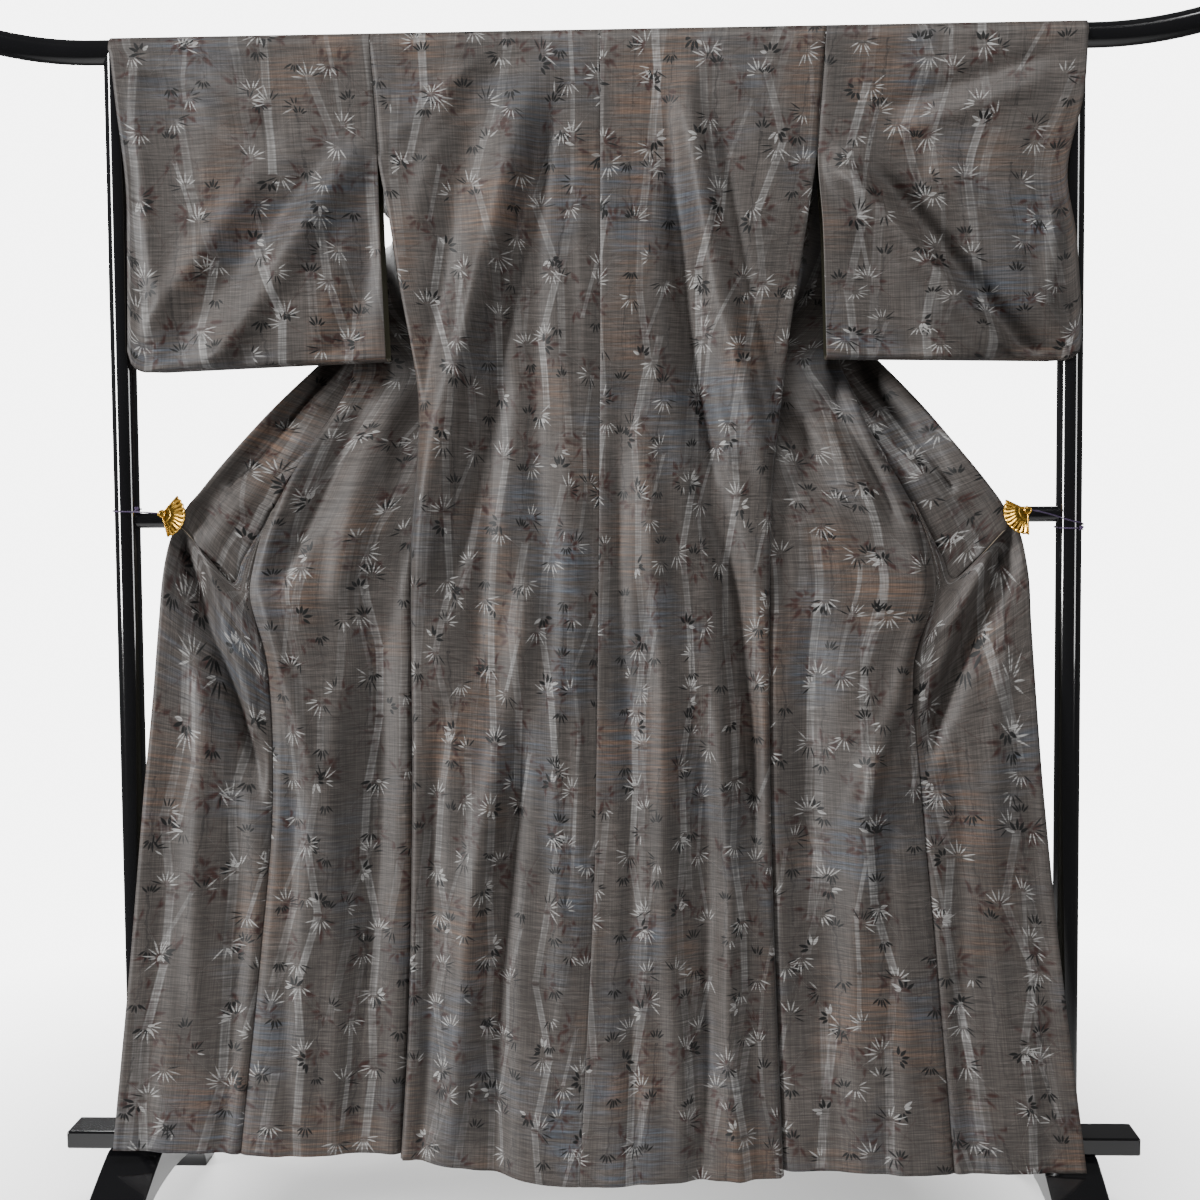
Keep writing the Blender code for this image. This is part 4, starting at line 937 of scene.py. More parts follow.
SPRAYS = (   # the culm it grows on, then a value for each label
    ("broad", "wine", (0.11, 0.022, 0.018, 0.032, 0.0050, 0.75, 2.0, 0.95, 4.0, 0.0036, 5.0)),
    ("slender", "wine", (0.12, 0.018, 0.020, 0.029, 0.0046, 0.75, 2.0, 0.90, 4.0, 0.0034, 5.0)),
    ("far", "wine", (0.14, 0.018, 0.018, 0.029, 0.0044, 0.75, 2.0, 0.85, 5.0, 0.0034, 5.0)),
    ("twig", "leaf", (0.15, 0.002, 0.004, 0.0205, 0.0023, 0.42, 2.0, 0.62, 0.5, 0.0007, -2.0)),
    ("far", "leaf", (0.16, 0.020, 0.020, 0.0230, 0.0018, 0.50, 2.0, 0.62, 2.6, 0.0007, -0.1)),
    ("broad", "leaf", (0.17, 0.016, 0.022, 0.0215, 0.0036, 0.62, 2.0, 0.70, 2.8, 0.0007, -0.5)),
    ("slender", "leaf", (0.18, 0.014, 0.012, 0.0265, 0.0015, 0.44, 3.0, 0.72, 2.2, 0.0007, 0.45)),
    ("broad", "leaf", (0.19, 0.014, 0.010, 0.0280, 0.0016, 0.44, 3.0, 0.88, 2.0, 0.0007, 0.60)))
CULM_LABELS = ("Column", "Run", "Seed", "Sway", "Half", "Gap", "Share")
CULMS = {
    "far": (0.086, 0.118, 3.0, 0.034, 0.0058, 0.0012, 0.60),
    "broad": (0.094, 0.101, 1.0, 0.044, 0.0054, 0.0008, 0.84),
    "slender": (0.112, 0.083, 2.0, 0.048, 0.0024, 0.0008, 0.60),
    "twig": (0.066, 0.078, 4.0, 0.018, 0.00065, 0.0004, 0.72)}


def add_group(shader, tree, vectors, labels=(), sizes=()):
    """Use a node group with these vectors and sizes; its two outputs."""
    made = shader.node("Group", node_tree=tree)
    for label, value in vectors.items():
        shader.feed(made.inputs[label], value)
    for label, value in zip(labels, sizes):
        made.inputs[label].default_value = value
    return made.outputs[0], made.outputs[1]


TINTS = (                  # colour, waves of its patches and of its threads, offset
    ((0.048, 0.070, 0.100, 1.0), (6.0, 6.0), (11.0, 190.0), 0.0),
    ((0.135, 0.073, 0.042, 1.0), (7.0, 5.0), (9.0, 230.0), 3.0))
TINT_STRENGTH = 0.48
YARNS = (                  # waves across and along, octaves, roughness, gain and base of the shade
    ((13.0, 380.0), 2.0, 0.7, 0.90, 0.53),     # thick wefts
    ((45.0, 850.0), 1.0, 0.6, 0.56, 0.70),     # fine wefts
    ((560.0, 12.0), 1.0, 0.65, 0.50, 0.73),    # warps
    ((7.0, 5.0), 2.0, 0.55, 0.40, 0.78))       # uneven dyeing
YARN_STEP = (0.20, 0.80)
WINE = (0.026, 0.0095, 0.0075, 1.0)
CULM_PALE = (0.235, 0.232, 0.228, 1.0)
CULM_NODE = (0.030, 0.018, 0.015, 1.0)
TWIG_DARK = (0.012, 0.010, 0.010, 1.0)
LEAF_DARK = (0.002, 0.002, 0.002, 1.0)
LEAF_PALE = (0.300, 0.296, 0.288, 1.0)
PALE_CULMS = (("far", 0.55), ("broad", 1.10), ("slender", 1.00))   # strength of each
NODE_STRENGTH = 0.6
TWIG_STRENGTH = 1.25


def make_silk(cloth):
    """Taupe plain weave with uneven wefts, tinted patches and the bamboo figure."""
    material, s, surface = new_material("woven_silk")
    cut = s.node("UVMap", uv_map="Cut").outputs[0]
    leaf_tree, culm_tree, joint_tree = make_spray_group(), make_culm_group(), make_joint_group()

    yarns = [s.cloud(cut, waves, octaves, rough) for waves, octaves, rough, _, _ in YARNS]
    slub, fine = yarns[:2]
    shade = reduce(s.times, [s.scaled(s.step(yarn, *YARN_STEP), gain, base)
                             for yarn, (_, _, _, gain, base) in zip(yarns, YARNS)])

    colour = (*cloth.ground, 1.0)
    for tint, spots, threads, offset in TINTS:
        moved = s.vector("ADD", cut, (offset, offset * 1.7, 0.0))
        area = s.step(s.cloud(moved, spots), 0.53, 0.70)
        thread = s.step(s.cloud(moved, threads), 0.36, 0.74)
        colour = s.mix(s.times(s.times(area, thread), TINT_STRENGTH), colour, tint)

    blot = s.cloud(cut, (60.0, 60.0), 2.0)
    stir = s.join(s.scaled(blot, 0.012, -0.006))
    joints = {name: add_group(s, joint_tree, {"Cut": cut}, CULM_LABELS[:4], sizes[:4])
              for name, sizes in CULMS.items()}

    def sprays(kind, moved):
        """Pale and dark leaves of each spray of one kind."""
        for culm, of_kind, sizes in SPRAYS:
            if of_kind == kind:
                local, tag = joints[culm]
                local = s.vector("ADD", local, moved) if moved else local
                yield add_group(s, leaf_tree, {"Local": local, "Tag": tag}, SPRAY_LABELS, sizes)

    blotted = s.scaled(s.step(blot, 0.34, 0.56), 0.66, 0.26)
    for mark, _ in sprays("wine", stir):
        colour = s.mix(s.times(mark, blotted), colour, WINE)

    threads = s.scaled(s.step(slub, 0.25, 0.70), 0.50, 0.50)
    worn = s.step(s.cloud(cut, (34.0, 11.0)), 0.30, 0.62)
    threads = s.times(threads, s.scaled(worn, 0.50, 0.50))
    for name, strength in PALE_CULMS:
        body, ring = add_group(s, culm_tree, {"Cut": cut}, CULM_LABELS, CULMS[name])
        colour = s.mix(s.times(s.times(body, threads), strength), colour, CULM_PALE)
        colour = s.mix(s.times(ring, NODE_STRENGTH * strength), colour, CULM_NODE)
    stirred = {"Cut": s.vector("ADD", cut, stir)}
    twig, _ = add_group(s, culm_tree, stirred, CULM_LABELS, CULMS["twig"])
    colour = s.mix(s.times(twig, TWIG_STRENGTH), colour, TWIG_DARK)
    colour = s.mix(1.0, colour, s.join(shade, shade, shade), "MULTIPLY")

    broken = s.scaled(s.step(fine, 0.38, 0.58), 0.70, 0.22)
    for light, dark in sprays("leaf", None):
        colour = s.mix(dark, colour, LEAF_DARK)
        colour = s.mix(s.times(light, broken), colour, LEAF_PALE)
    s.feed(surface.inputs["Base Color"], colour)

    dull(surface, roughness=cloth.roughness, sheen=0.05)
    surface.inputs["Specular IOR Level"].default_value = 0.30
    surface.inputs["Sheen Roughness"].default_value = 0.4
    add_bump(s, surface, s.scaled(slub, 0.60, s.times(fine, 0.45)), 0.45, 0.0006)
    return material


def make_lining(cloth):
    """Smooth olive-grey lining silk with a faint rib."""
    material, s, surface = new_material("lining_silk")
    cut = s.node("UVMap", uv_map="Cut").outputs[0]
    cloudy = s.cloud(cut, (9.0, 9.0), 3.0)
    rib = s.cloud(cut, (30.0, 700.0), 2.0)
    colour = s.mix(s.scaled(rib, 0.6, s.times(cloudy, 0.4)),
                   toned(cloth.lining, 0.72), toned(cloth.lining, 1.18))
    s.feed(surface.inputs["Base Color"], colour)
    dull(surface, roughness=0.50, sheen=0.15)
    add_bump(s, surface, rib, 0.4, 0.0003)
    return material


def make_hem_edge():
    """The tan turned edge of the lining along hems and cuffs."""
    material, s, surface = new_material("hem_edge")
    cut = s.node("UVMap", uv_map="Cut").outputs[0]
    rib = s.cloud(cut, (400.0, 400.0), 2.0)
    colour = s.mix(rib, (0.115, 0.090, 0.062, 1.0), (0.180, 0.145, 0.105, 1.0))
    s.feed(surface.inputs["Base Color"], colour)
    dull(surface, roughness=0.6)
    return material


def make_lacquer(stand):
    """Deep black lacquer: glossy, with a trace of brushed unevenness."""
    material, s, surface = new_material("black_lacquer")
    place = s.node("TexCoord").outputs["Object"]
    broad = s.cloud(place, (7.0, 7.0, 3.0), 3.0)
    fine = s.cloud(place, (160.0, 160.0, 60.0), 2.0)
    colour = s.mix(broad, toned(stand.lacquer, 1.0), toned(stand.lacquer, 1.9))
    s.feed(surface.inputs["Base Color"], colour)
    s.feed(surface.inputs["Roughness"], s.scaled(broad, 0.07, stand.gloss))
    surface.inputs["Coat Weight"].default_value = 0.8
    surface.inputs["Coat Roughness"].default_value = 0.05
    add_bump(s, surface, fine, 0.05, 0.0003)
    return material


def make_gold(clips):
    """Gold plate, brighter where it is rubbed and browner in its hollows."""
    material, s, surface = new_material("gold_plate")
    place = s.node("TexCoord").outputs["Object"]
    worn = s.cloud(place, (260.0, 260.0, 260.0), 3.0)
    colour = s.mix(s.step(worn, 0.3, 0.7), toned(clips.gold, 0.55), toned(clips.gold, 1.0))
    s.feed(surface.inputs["Base Color"], colour)
    surface.inputs["Metallic"].default_value = 1.0
    s.feed(surface.inputs["Roughness"], s.scaled(worn, 0.22, 0.14))
    add_bump(s, surface, worn, 0.25, 0.0004)
    return material


def make_braid(clips):
    """Twisted purple silk cord."""
    material, s, surface = new_material("purple_cord")
    place = s.node("TexCoord").outputs["Object"]
    hair = s.cloud(place, (2600.0, 2600.0, 2600.0), 2.0)
    colour = s.mix(hair, toned(clips.cord, 0.45), toned(clips.cord, 1.0))
    s.feed(surface.inputs["Base Color"], colour)
    dull(surface, roughness=0.62, sheen=0.3)
    add_bump(s, surface, hair, 0.4, 0.0002)
    return material


def cloth_materials(cloth):
    """The three faces of a cloth wall, made once and then shared."""
    if "woven_silk" not in bpy.data.materials:
        make_silk(cloth)
        make_lining(cloth)
        make_hem_edge()
    return [bpy.data.materials[name] for name in ("woven_silk", "lining_silk", "hem_edge")]


# ---------------------------------------------------------------------- the garment
def seam_dip(distance, groove):
    """Depth of the groove at a distance from its seam."""
    depth, width = groove
    return depth * max(0.0, 1.0 - distance / width) ** DIP_CURVE


# Shares of a piece's width at which its grid has columns: close together beside a seam.
NEAR_SEAM = (0.0, 0.005, 0.011, 0.019)
PAST_SEAM = 0.035
NECK_COLUMNS = 14
SIDE_COLUMNS = 38
BODY_SHARES = (
    list(NEAR_SEAM) + spread(PAST_SEAM, NECK_SHARE - 0.018, NECK_COLUMNS)
    + [NECK_SHARE + share for share in NEAR_SEAM]
    + spread(NECK_SHARE + PAST_SEAM, 1.0, SIDE_COLUMNS))
NECK_INDEX = len(NEAR_SEAM) + NECK_COLUMNS
FRONT_SHARES = [(share - NECK_SHARE) / (1.0 - NECK_SHARE) for share in BODY_SHARES[NECK_INDEX:]]


def below_armhole(drop):
    """0 beside the armhole, 1 where back and front are sewn together."""
    return ease((drop - ARMHOLE_END[0]) / ARMHOLE_END[1])


def back_row(side, share):
    """Points from the centre seam to the side edge, at a share of the back's length."""
    points = []
    guide = BACK_GUIDE[side]
    for t in BODY_SHARES:
        drop = share * blend(BACK_HEM["centre"], BACK_HEM[side], ease(t))
        sewn = drop <= ATTACH_DROP
        side_x = armhole_x(side, drop) if sewn else guide.read("x", drop)
        side_y = -flat_y(drop) if sewn else guide.read("y", drop)
        x = blend(CENTRE_GUIDE.read("x", drop), side_x, t)
        y = blend(CENTRE_GUIDE.read("y", drop), side_y, ease(t))
        lift = fold_height(BACK_FOLDS, x, drop) + ripple(x, drop, "back")
        below_beam = ease((drop - BEND_RADIUS) / BEND_FADE)
        y -= below_beam * (min(lift, 0.0) * side_hump(t, (FLAT_EDGE, FLAT_EDGE))
                           + max(lift, 0.0) * side_hump(t, (FLAT_EDGE, FREE_EDGE)))
        width = abs(side_x - CENTRE_X)
        to_side = (1.0 - t) * width
        y += below_beam * seam_dip(t * width, CENTRE_DIP)
        if sewn:
            y += below_beam * seam_dip(to_side, ARMHOLE_DIP)
        y = clear_of_rail(y, drop) + below_armhole(drop) * seam_dip(to_side, TURNED_EDGE)
        points.append(at_drop(x, y, drop))
    return pull_in(points, SEAM_GAP / 2, 0.0)


def over_beam(step, x_at):
    """Points over the beam; the steps run from in front of it to behind it."""
    angle = pi * step / BEND_STEPS
    drop = BEND_RADIUS * (1.0 - sin(angle))
    return [at_drop(x, -BEND_RADIUS * cos(angle), drop) for x in x_at(drop)]


def bend_row(side, step):
    """One row of the body's cloth over the beam."""
    points = over_beam(step, lambda drop: [
        blend(CENTRE_X, armhole_x(side, drop), t) for t in BODY_SHARES])
    return pull_in(points, SEAM_GAP / 2, 0.0)


def front_row(side, drop, shares, folded=True):
    """Points from the collar or overlap seam to the side edge of the front length."""
    guide = FRONT_GUIDE[side]
    corners = [at_drop(guide.read(name + "_x", drop), guide.read(name + "_y", drop), drop)
               for name in ("edge", "rim", "tuck", "side")]
    if drop <= ATTACH_DROP:
        corners[-1] = at_drop(armhole_x(side, drop), flat_y(drop), drop)
    else:
        sewn = ease((drop - ATTACH_DROP) / (SIDE_SEAM_DROP - ATTACH_DROP))
        corners[-1] += sewn * Vector((-SIGN[side] * SIDE_TUCK, SIDE_STEP, 0.0))
    points = curve_through(corners, shares)
    if folded:
        width = (corners[1] - corners[0]).length + (corners[2] - corners[1]).length
        shown = below_armhole(drop)
        for point, share in zip(points, shares):
            lift = fold_height(FRONT_FOLDS[side], point.x, drop) + ripple(point.x, drop, "front")
            point.y -= shown * side_hump(share, FRONT_FLAT_EDGES) * lift
            point.y += beside_overlap(drop) * seam_dip(share * width, OVERLAP_DIP)
            point.y += shown * seam_dip((1.0 - share) * width, SIDE_DIP)
    return points


def beside_overlap(drop):
    """0 above the collar's end, 1 where the overlap is sewn on below it."""
    return ease((drop - COLLAR_CORNER) / OVERLAP_DIP_LENGTH)


def front_seam(side, drop):
    """Where the front length's free edge is sewn to the collar or the overlap."""
    return front_row(side, drop, (0.0, 1.0), folded=False)[0]


def neck_row(side, shares):
    """The neck seam from the middle to the front length's corner."""
    corner = front_seam(side, NECK_DROP)
    middle = at_drop(CENTRE_X, corner.y, NECK_DROP)
    return [middle.lerp(corner, share) for share in shares]


def front_drops(side, first=FRONT_FIRST_DROP):
    return spread(first, FRONT[side][-1].drop, FRONT_ROWS)


def across_cut(name, shares, width, sign=1):
    """Where a piece's columns lie across its cut."""
    return [CUT_START[name] + sign * share * width for share in shares]


def cloth_piece(name, bm, cloth, turned):
    """A lined wall of cloth; a turned grid has its faces the other way round."""
    if turned:
        bmesh.ops.reverse_faces(bm, faces=bm.faces[:])
    piece = add_mesh(name, bm, cloth_materials(cloth), sharp=SMOOTH)
    return add_wall(piece, cloth.wall, lined=True)


def build_body(side, cloth):
    """One length of cloth from the back hem over the shoulder to the front hem."""
    rows = [back_row(side, share) for share in spread(*BACK_SHARES, BACK_ROWS)]
    rows += [bend_row(side, step) for step in range(BEND_STEPS + 1)]
    bends_end = len(rows) - 1
    neck = pull_in(neck_row(side, BODY_SHARES[:NECK_INDEX]), SEAM_GAP / 2, 0.0)
    for drop in front_drops(side):
        rows.append(neck + pull_in(front_row(side, drop, FRONT_SHARES), SEAM_GAP / 2, 0.0))
    across = across_cut("body_" + side, BODY_SHARES, BODY_CUT[0], SIGN[side])
    along = lengths_along(rows, (NECK_INDEX + len(BODY_SHARES)) // 2)
    bm = cloth_grid(rows, across, along,
                    lambda column, row: column >= NECK_INDEX or row < bends_end)
    piece = cloth_piece("body_length_" + side, bm, cloth, turned=side == "left")
    return finish_piece(piece, "silk", "body_" + side)


def free_edge(guide, at):
    """Point of a piece's outer edge, read from its table."""
    return at_drop(guide.read("x", at), guide.read("y", at), guide.read("drop", at))


def strip_row(seam, edge, shares, folds, gaps, dip=0.0):
    """A row from the seam to the outer edge, lifted by folds between them."""
    row = []
    width = (edge - seam).length
    for t in shares:
        point = seam.lerp(edge, t)
        drop = SHOULDER_Z - point.z
        lift = fold_height(folds, point.x, drop) + ripple(point.x, drop, "strip")
        point.y -= side_hump(t, STRIP_FLAT_EDGES) * lift
        point.y += dip * seam_dip(t * width, OVERLAP_DIP)
        point.y = clear_of_rail(point.y, drop) if point.y < 0.0 else point.y
        row.append(point)
    return pull_in(row, *gaps)


def build_overlap(side, cloth):
    """The overlap from its point under the collar to the hem."""
    shares = list(NEAR_SEAM) + spread(PAST_SEAM, 1.0, OVERLAP_COLUMNS)
    rows = [strip_row(front_seam(side, drop), free_edge(OVERLAP_GUIDE[side], drop), shares,
                      OVERLAP_FOLDS[side], (SEAM_GAP / 2, SEAM_GAP / 2), beside_overlap(drop))
            for drop in front_drops(side, OVERLAP_DROP)]
    across = across_cut("overlap_" + side, shares, OVERLAP_CUT[0])
    bm = cloth_grid(rows, across, lengths_along(rows, 0))
    piece = cloth_piece("overlap_panel_" + side, bm, cloth, turned=side == "right")
    return finish_piece(piece, "silk", "overlap_" + side)


def collar_rows(side, gap):
    """Rows of the collar from the middle of the neck to one end."""
    neck_count, front_count, overlap_count = COLLAR_ROWS
    neck = neck_row(side, spread(0.0, 1.0, neck_count))
    spots = [(-(point - neck[-1]).length, point) for point in neck]
    for drop in spread(COLLAR_FIRST_DROP, OVERLAP_DROP, front_count):
        spots.append((drop, front_seam(side, drop)))
    for share in spread(0.04, 1.0, overlap_count):
        drop = blend(OVERLAP_DROP, COLLAR_CORNER, share)
        at = blend(OVERLAP_DROP, COLLAR_END_DROP, share)
        spots.append((at, free_edge(OVERLAP_GUIDE[side], drop)))
    shares = spread(0.0, 1.0, COLLAR_COLUMNS)
    rows = [strip_row(seam, free_edge(COLLAR_GUIDE[side], at), shares, COLLAR_FOLDS[side],
                      (gap, 0.0)) for at, seam in spots]
    rows.append([point + COLLAR_TUCK for point in rows[-1]])
    return rows


def build_collar(cloth):
    """One band from the left end round the neck to the right end."""
    gap = -cloth.collar_wall / 2
    rows = collar_rows("left", gap)[::-1] + collar_rows("right", gap)[1:]
    across = across_cut("collar", spread(0.0, 1.0, COLLAR_COLUMNS), COLLAR_CUT[0])
    bm = cloth_grid(rows, across, lengths_along(rows, 0))
    piece = add_mesh("collar_band", bm, cloth_materials(cloth)[:1], sharp=SMOOTH)
    add_wall(piece, cloth.collar_wall, lined=False)
    return finish_piece(piece, "silk", "collar")


SLEEVE_SHARES = (
    list(NEAR_SEAM) + spread(PAST_SEAM, STEP_START, 36)
    + spread(STEP_START + 0.008, STEP_START + STEP_LENGTH, 7) + spread(0.93, 1.0, 6))


def sleeve_layer_row(side, share, far):
    """Points of one sleeve layer from the inner to the outer edge."""
    outer = FAR_GUIDE[side] if far else NEAR_GUIDE[side]
    inner_bottom, outer_bottom = SLEEVE_BOTTOM[side]
    inner_flat, cuff, cuff_flat = SLEEVE_FLAT
    full = abs(SLEEVE_OUTER_NEAR[side][-1].x - SLEEVE_INNER[side][-1].x)
    gap = SIGN[side] * ARMHOLE_GAP
    points = []
    for t in SLEEVE_SHARES:
        bottom = blend(inner_bottom, outer_bottom, t)
        past_corner = max(0.0, t * full - (full - SLEEVE_CORNER))
        bottom -= SLEEVE_CORNER - (SLEEVE_CORNER**2 - past_corner**2) ** 0.5
        drop = share * bottom
        sewn = drop <= ATTACH_DROP
        inner_x = (armhole_x(side, drop) if sewn else INNER_GUIDE[side].read("x", drop)) + gap
        x = blend(inner_x, outer.read("x", drop), t)
        belly = SLEEVE_BELLY * sin(pi * t) * ease(drop / ATTACH_DROP)
        flat = flat_y(drop) + belly if far else -flat_y(drop) - belly
        y = blend(flat, outer.read("y", drop), ease((t - STEP_START) / STEP_LENGTH))
        layer = "sleeve_far" if far else "sleeve_near"
        lift = fold_height(SLEEVE_FOLDS[side], x, drop) + ripple(x, drop, layer)
        below_beam = ease((drop - BEND_RADIUS) / SLEEVE_FADE)
        inside = ease(t / inner_flat) * ease((cuff - t) / cuff_flat) * below_beam
        inside *= ease((1.0 - share) / SLEEVE_FADE)
        if sewn and not far:
            y += below_beam * seam_dip(t * full, ARMHOLE_DIP)
        if not far:
            y -= inside * lift
        elif t < STEP_START:
            y += inside * lift * FAR_LAYER
        points.append(at_drop(x, y, drop))
    return points


def build_sleeve(side, cloth):
    """A flat bag, open at the cuff and at the inner side below its seam."""
    shares = spread(*SLEEVE_LAYER_SHARES, SLEEVE_ROWS)
    near = [sleeve_layer_row(side, share, False) for share in shares]
    far = [sleeve_layer_row(side, share, True) for share in reversed(shares)]
    gap = SIGN[side] * ARMHOLE_GAP
    outer_x = SLEEVE_OUTER_NEAR[side][0].x
    over = [over_beam(step, lambda drop: [
        blend(armhole_x(side, drop) + gap, outer_x, t) for t in SLEEVE_SHARES])
        for step in range(BEND_STEPS + 1)]
    rows = [[point.copy() for point in far[-1]]] + near + over + far
    for first, a, b in zip(rows[0], near[0], far[-1]):
        first.xyz = (a + b) / 2
        first.z -= SLEEVE_HEM
    rows.append([point.copy() for point in rows[0]])
    across = across_cut("sleeve_" + side, SLEEVE_SHARES, SLEEVE_CUT[0])
    bm = cloth_grid(rows, across, lengths_along(rows, len(SLEEVE_SHARES) // 2))
    bmesh.ops.remove_doubles(bm, verts=bm.verts[:], dist=0.00001)
    piece = cloth_piece("sleeve_bag_" + side, bm, cloth, turned=side == "left")
    return finish_piece(piece, "silk", "sleeve_" + side)


# ------------------------------------------------------------------------ the stand
def round_bar(name, start, end, radius, material, bevel=BAR_EDGE):
    """A straight round bar with eased ends."""
    bm = bmesh.new()
    length = (end - start).length
    turn = (end - start).to_track_quat("Z", "X")
    bmesh.ops.create_cone(
        bm, cap_ends=True, segments=72, radius1=radius, radius2=radius, depth=length,
        matrix=Matrix.LocRotScale((start + end) / 2, turn, None))
    piece = add_mesh(name, bm, [material])
    add_bevel(piece, bevel)
    return piece


def build_beam(material):
    """The top bar, straight over the garment, its ends swept up and rounded."""
    points, taper = [], []
    straight = BEAM_HALF - BEAM_END_ROUND
    ends = [BEAM_HALF, BEAM_HALF - 0.001, BEAM_HALF - 0.003]
    for x in [-x for x in ends] + spread(-straight, straight, 90) + ends[::-1]:
        past = max(0.0, abs(x) - BEAM_STRAIGHT) / (BEAM_HALF - BEAM_STRAIGHT)
        points.append(Vector((x, 0.0, BEAM_Z + BEAM_RISE * past**2)))
        short = max(0.0, 1.0 - (BEAM_HALF - abs(x)) / BEAM_END_ROUND)
        taper.append(1.0 - BEAM_END_SHARE * (1.0 - (1.0 - short**2) ** 0.5))
    bm = bmesh.new()
    sweep(bm, points, BEAM_RADIUS, 64, taper)
    return finish_piece(add_mesh("stand_beam", closed(bm), [material]), "lacquer", "beam")


def foot_outline():
    """Half of the foot's side view, from the top's edge down to the middle of the arch."""
    outline = [(FOOT_SADDLE, FOOT_TOP)]
    half = FOOT_REACH - TOE_SPLAY
    for run in spread(0.05, 1.0, 20):
        outline.append((blend(FOOT_SADDLE, half, run),
                        blend(FOOT_TOP, TOE_HEIGHT, run**FOOT_SWEEP)))
    outline.append((FOOT_REACH, 0.0))
    inner = FOOT_REACH - TOE_LENGTH
    for angle in spread(0.0, pi / 2, 24):
        outline.append((inner * cos(angle), ARCH_HEIGHT * sin(angle)))
    return outline


def build_foot(side, sign, material):
    """An arched board that runs from front to back under one post."""
    half = foot_outline()
    outline = half + [(-y, z) for y, z in reversed(half[:-1])]
    bm = bmesh.new()
    left = sign * POST_X - FOOT_WIDTH / 2
    face = bm.faces.new([bm.verts.new((left, y, z)) for y, z in outline])
    grown = bmesh.ops.extrude_face_region(bm, geom=[face])
    moved = [item for item in grown["geom"] if isinstance(item, bmesh.types.BMVert)]
    bmesh.ops.translate(bm, vec=(FOOT_WIDTH, 0, 0), verts=moved)
    piece = add_mesh("stand_foot_" + side, closed(bm), [material])
    add_bevel(piece, FOOT_EDGE)
    return finish_piece(piece, "lacquer", "foot_" + side)


def build_plank(material):
    low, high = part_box("plank")
    bm = bmesh.new()
    shape = Matrix.LocRotScale((low + high) / 2, None, high - low)
    bmesh.ops.create_cube(bm, size=1.0, matrix=shape)
    piece = add_mesh("stand_plank", bm, [material])
    add_bevel(piece, PLANK_EDGE)
    return finish_piece(piece, "lacquer", "plank")


def build_posts_and_rail(material):
    for side, sign in SIDES:
        x = sign * POST_X
        post = round_bar("stand_post_" + side, Vector((x, 0, POST_FOOT)),
                         Vector((x, 0, BEAM_Z)), POST_RADIUS, material)
        finish_piece(post, "lacquer", "post_" + side)
    rail = round_bar("stand_rail", Vector((-POST_X, 0, RAIL_Z)), Vector((POST_X, 0, RAIL_Z)),
                     RAIL_RADIUS, material)
    finish_piece(rail, "lacquer", "rail")


# ---------------------------------------------------------------- clips and their ties
def fan_centre(side):
    pivot_x, pivot_drop, _, _ = FAN[side]
    return Vector((pivot_x, FAN_Y, SHOULDER_Z - pivot_drop))


def build_fan(side, material):
    """A pleated folding fan: an embossed hub plate, a rim line and scalloped pleats."""
    _, _, first, last = FAN[side]
    plate_radius, plate_edge = FAN_PLATE
    rim_radius, rim_width, rim_height = FAN_RIM
    leaf_start, leaf_rise = FAN_LEAF
    bm = bmesh.new()
    turn = Matrix.Rotation(-first, 3, "Y")
    verts = [bm.verts.new(turn @ Vector((radius, 0, 0))) for radius in FAN_RINGS]
    edges = [bm.edges.new(pair) for pair in zip(verts, verts[1:])]
    steps = FAN_RIBS * FAN_STEPS_PER_RIB
    bmesh.ops.spin(bm, geom=verts + edges, cent=(0, 0, 0), axis=(0, -1, 0), angle=last - first,
                   steps=steps, use_duplicate=False)
    for vertex in bm.verts:
        angle = atan2(vertex.co.z, vertex.co.x) - first
        angle += tau if angle < -0.1 else 0.0
        rib = angle / (last - first) * FAN_RIBS
        wave = abs((rib % 1.0) * 2.0 - 1.0) * 2.0 - 1.0
        radius = vertex.co.length
        opened = ease((radius - leaf_start) / leaf_rise)
        rim_line = exp(-((radius - rim_radius) / rim_width) ** 2)
        plate = (ease((plate_radius - radius) / plate_edge) * sin(rib * pi)
                 * sin(radius * FAN_PLATE_WAVES))
        vertex.co *= 1.0 - FAN_SCALLOP * opened * (1.0 - wave) / 2.0
        vertex.co.y += (FAN_PLEAT * wave * opened - rim_height * rim_line
                        - FAN_PLATE_RELIEF * plate)
    bmesh.ops.translate(bm, vec=fan_centre(side), verts=bm.verts[:])
    fan = add_mesh("clip_fan_" + side, bm, [material], sharp=50)
    add_wall(fan, FAN_WALL, lined=False)
    finish_piece(fan, "gold", "fan_" + side)


def build_guards(side, material):
    """The fan's two outer sticks and the ring at its pivot."""
    _, _, first, last = FAN[side]
    centre = fan_centre(side)
    bm = bmesh.new()
    reaches, shares = zip(*GUARD_STICK)
    for angle in (first, last):
        ahead = Vector((cos(angle), 0, sin(angle)))
        points = [centre + ahead * reach + Vector((0, -GUARD_LIFT, 0)) for reach in reaches]
        sweep(bm, points, GUARD_RADIUS, 12, shares)
    start = centre + Vector((EYE_RADIUS, -EYE_LIFT, 0))
    section = bmesh.ops.create_circle(bm, segments=14, radius=GUARD_RADIUS,
                                      matrix=Matrix.Translation(start))["verts"]
    bmesh.ops.spin(bm, geom=section + edges_of(section), cent=centre, axis=(0, 1, 0), angle=tau,
                   steps=40, use_merge=True, use_duplicate=False)
    guards = add_mesh("clip_guards_" + side, closed(bm), [material])
    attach(guards, "root")


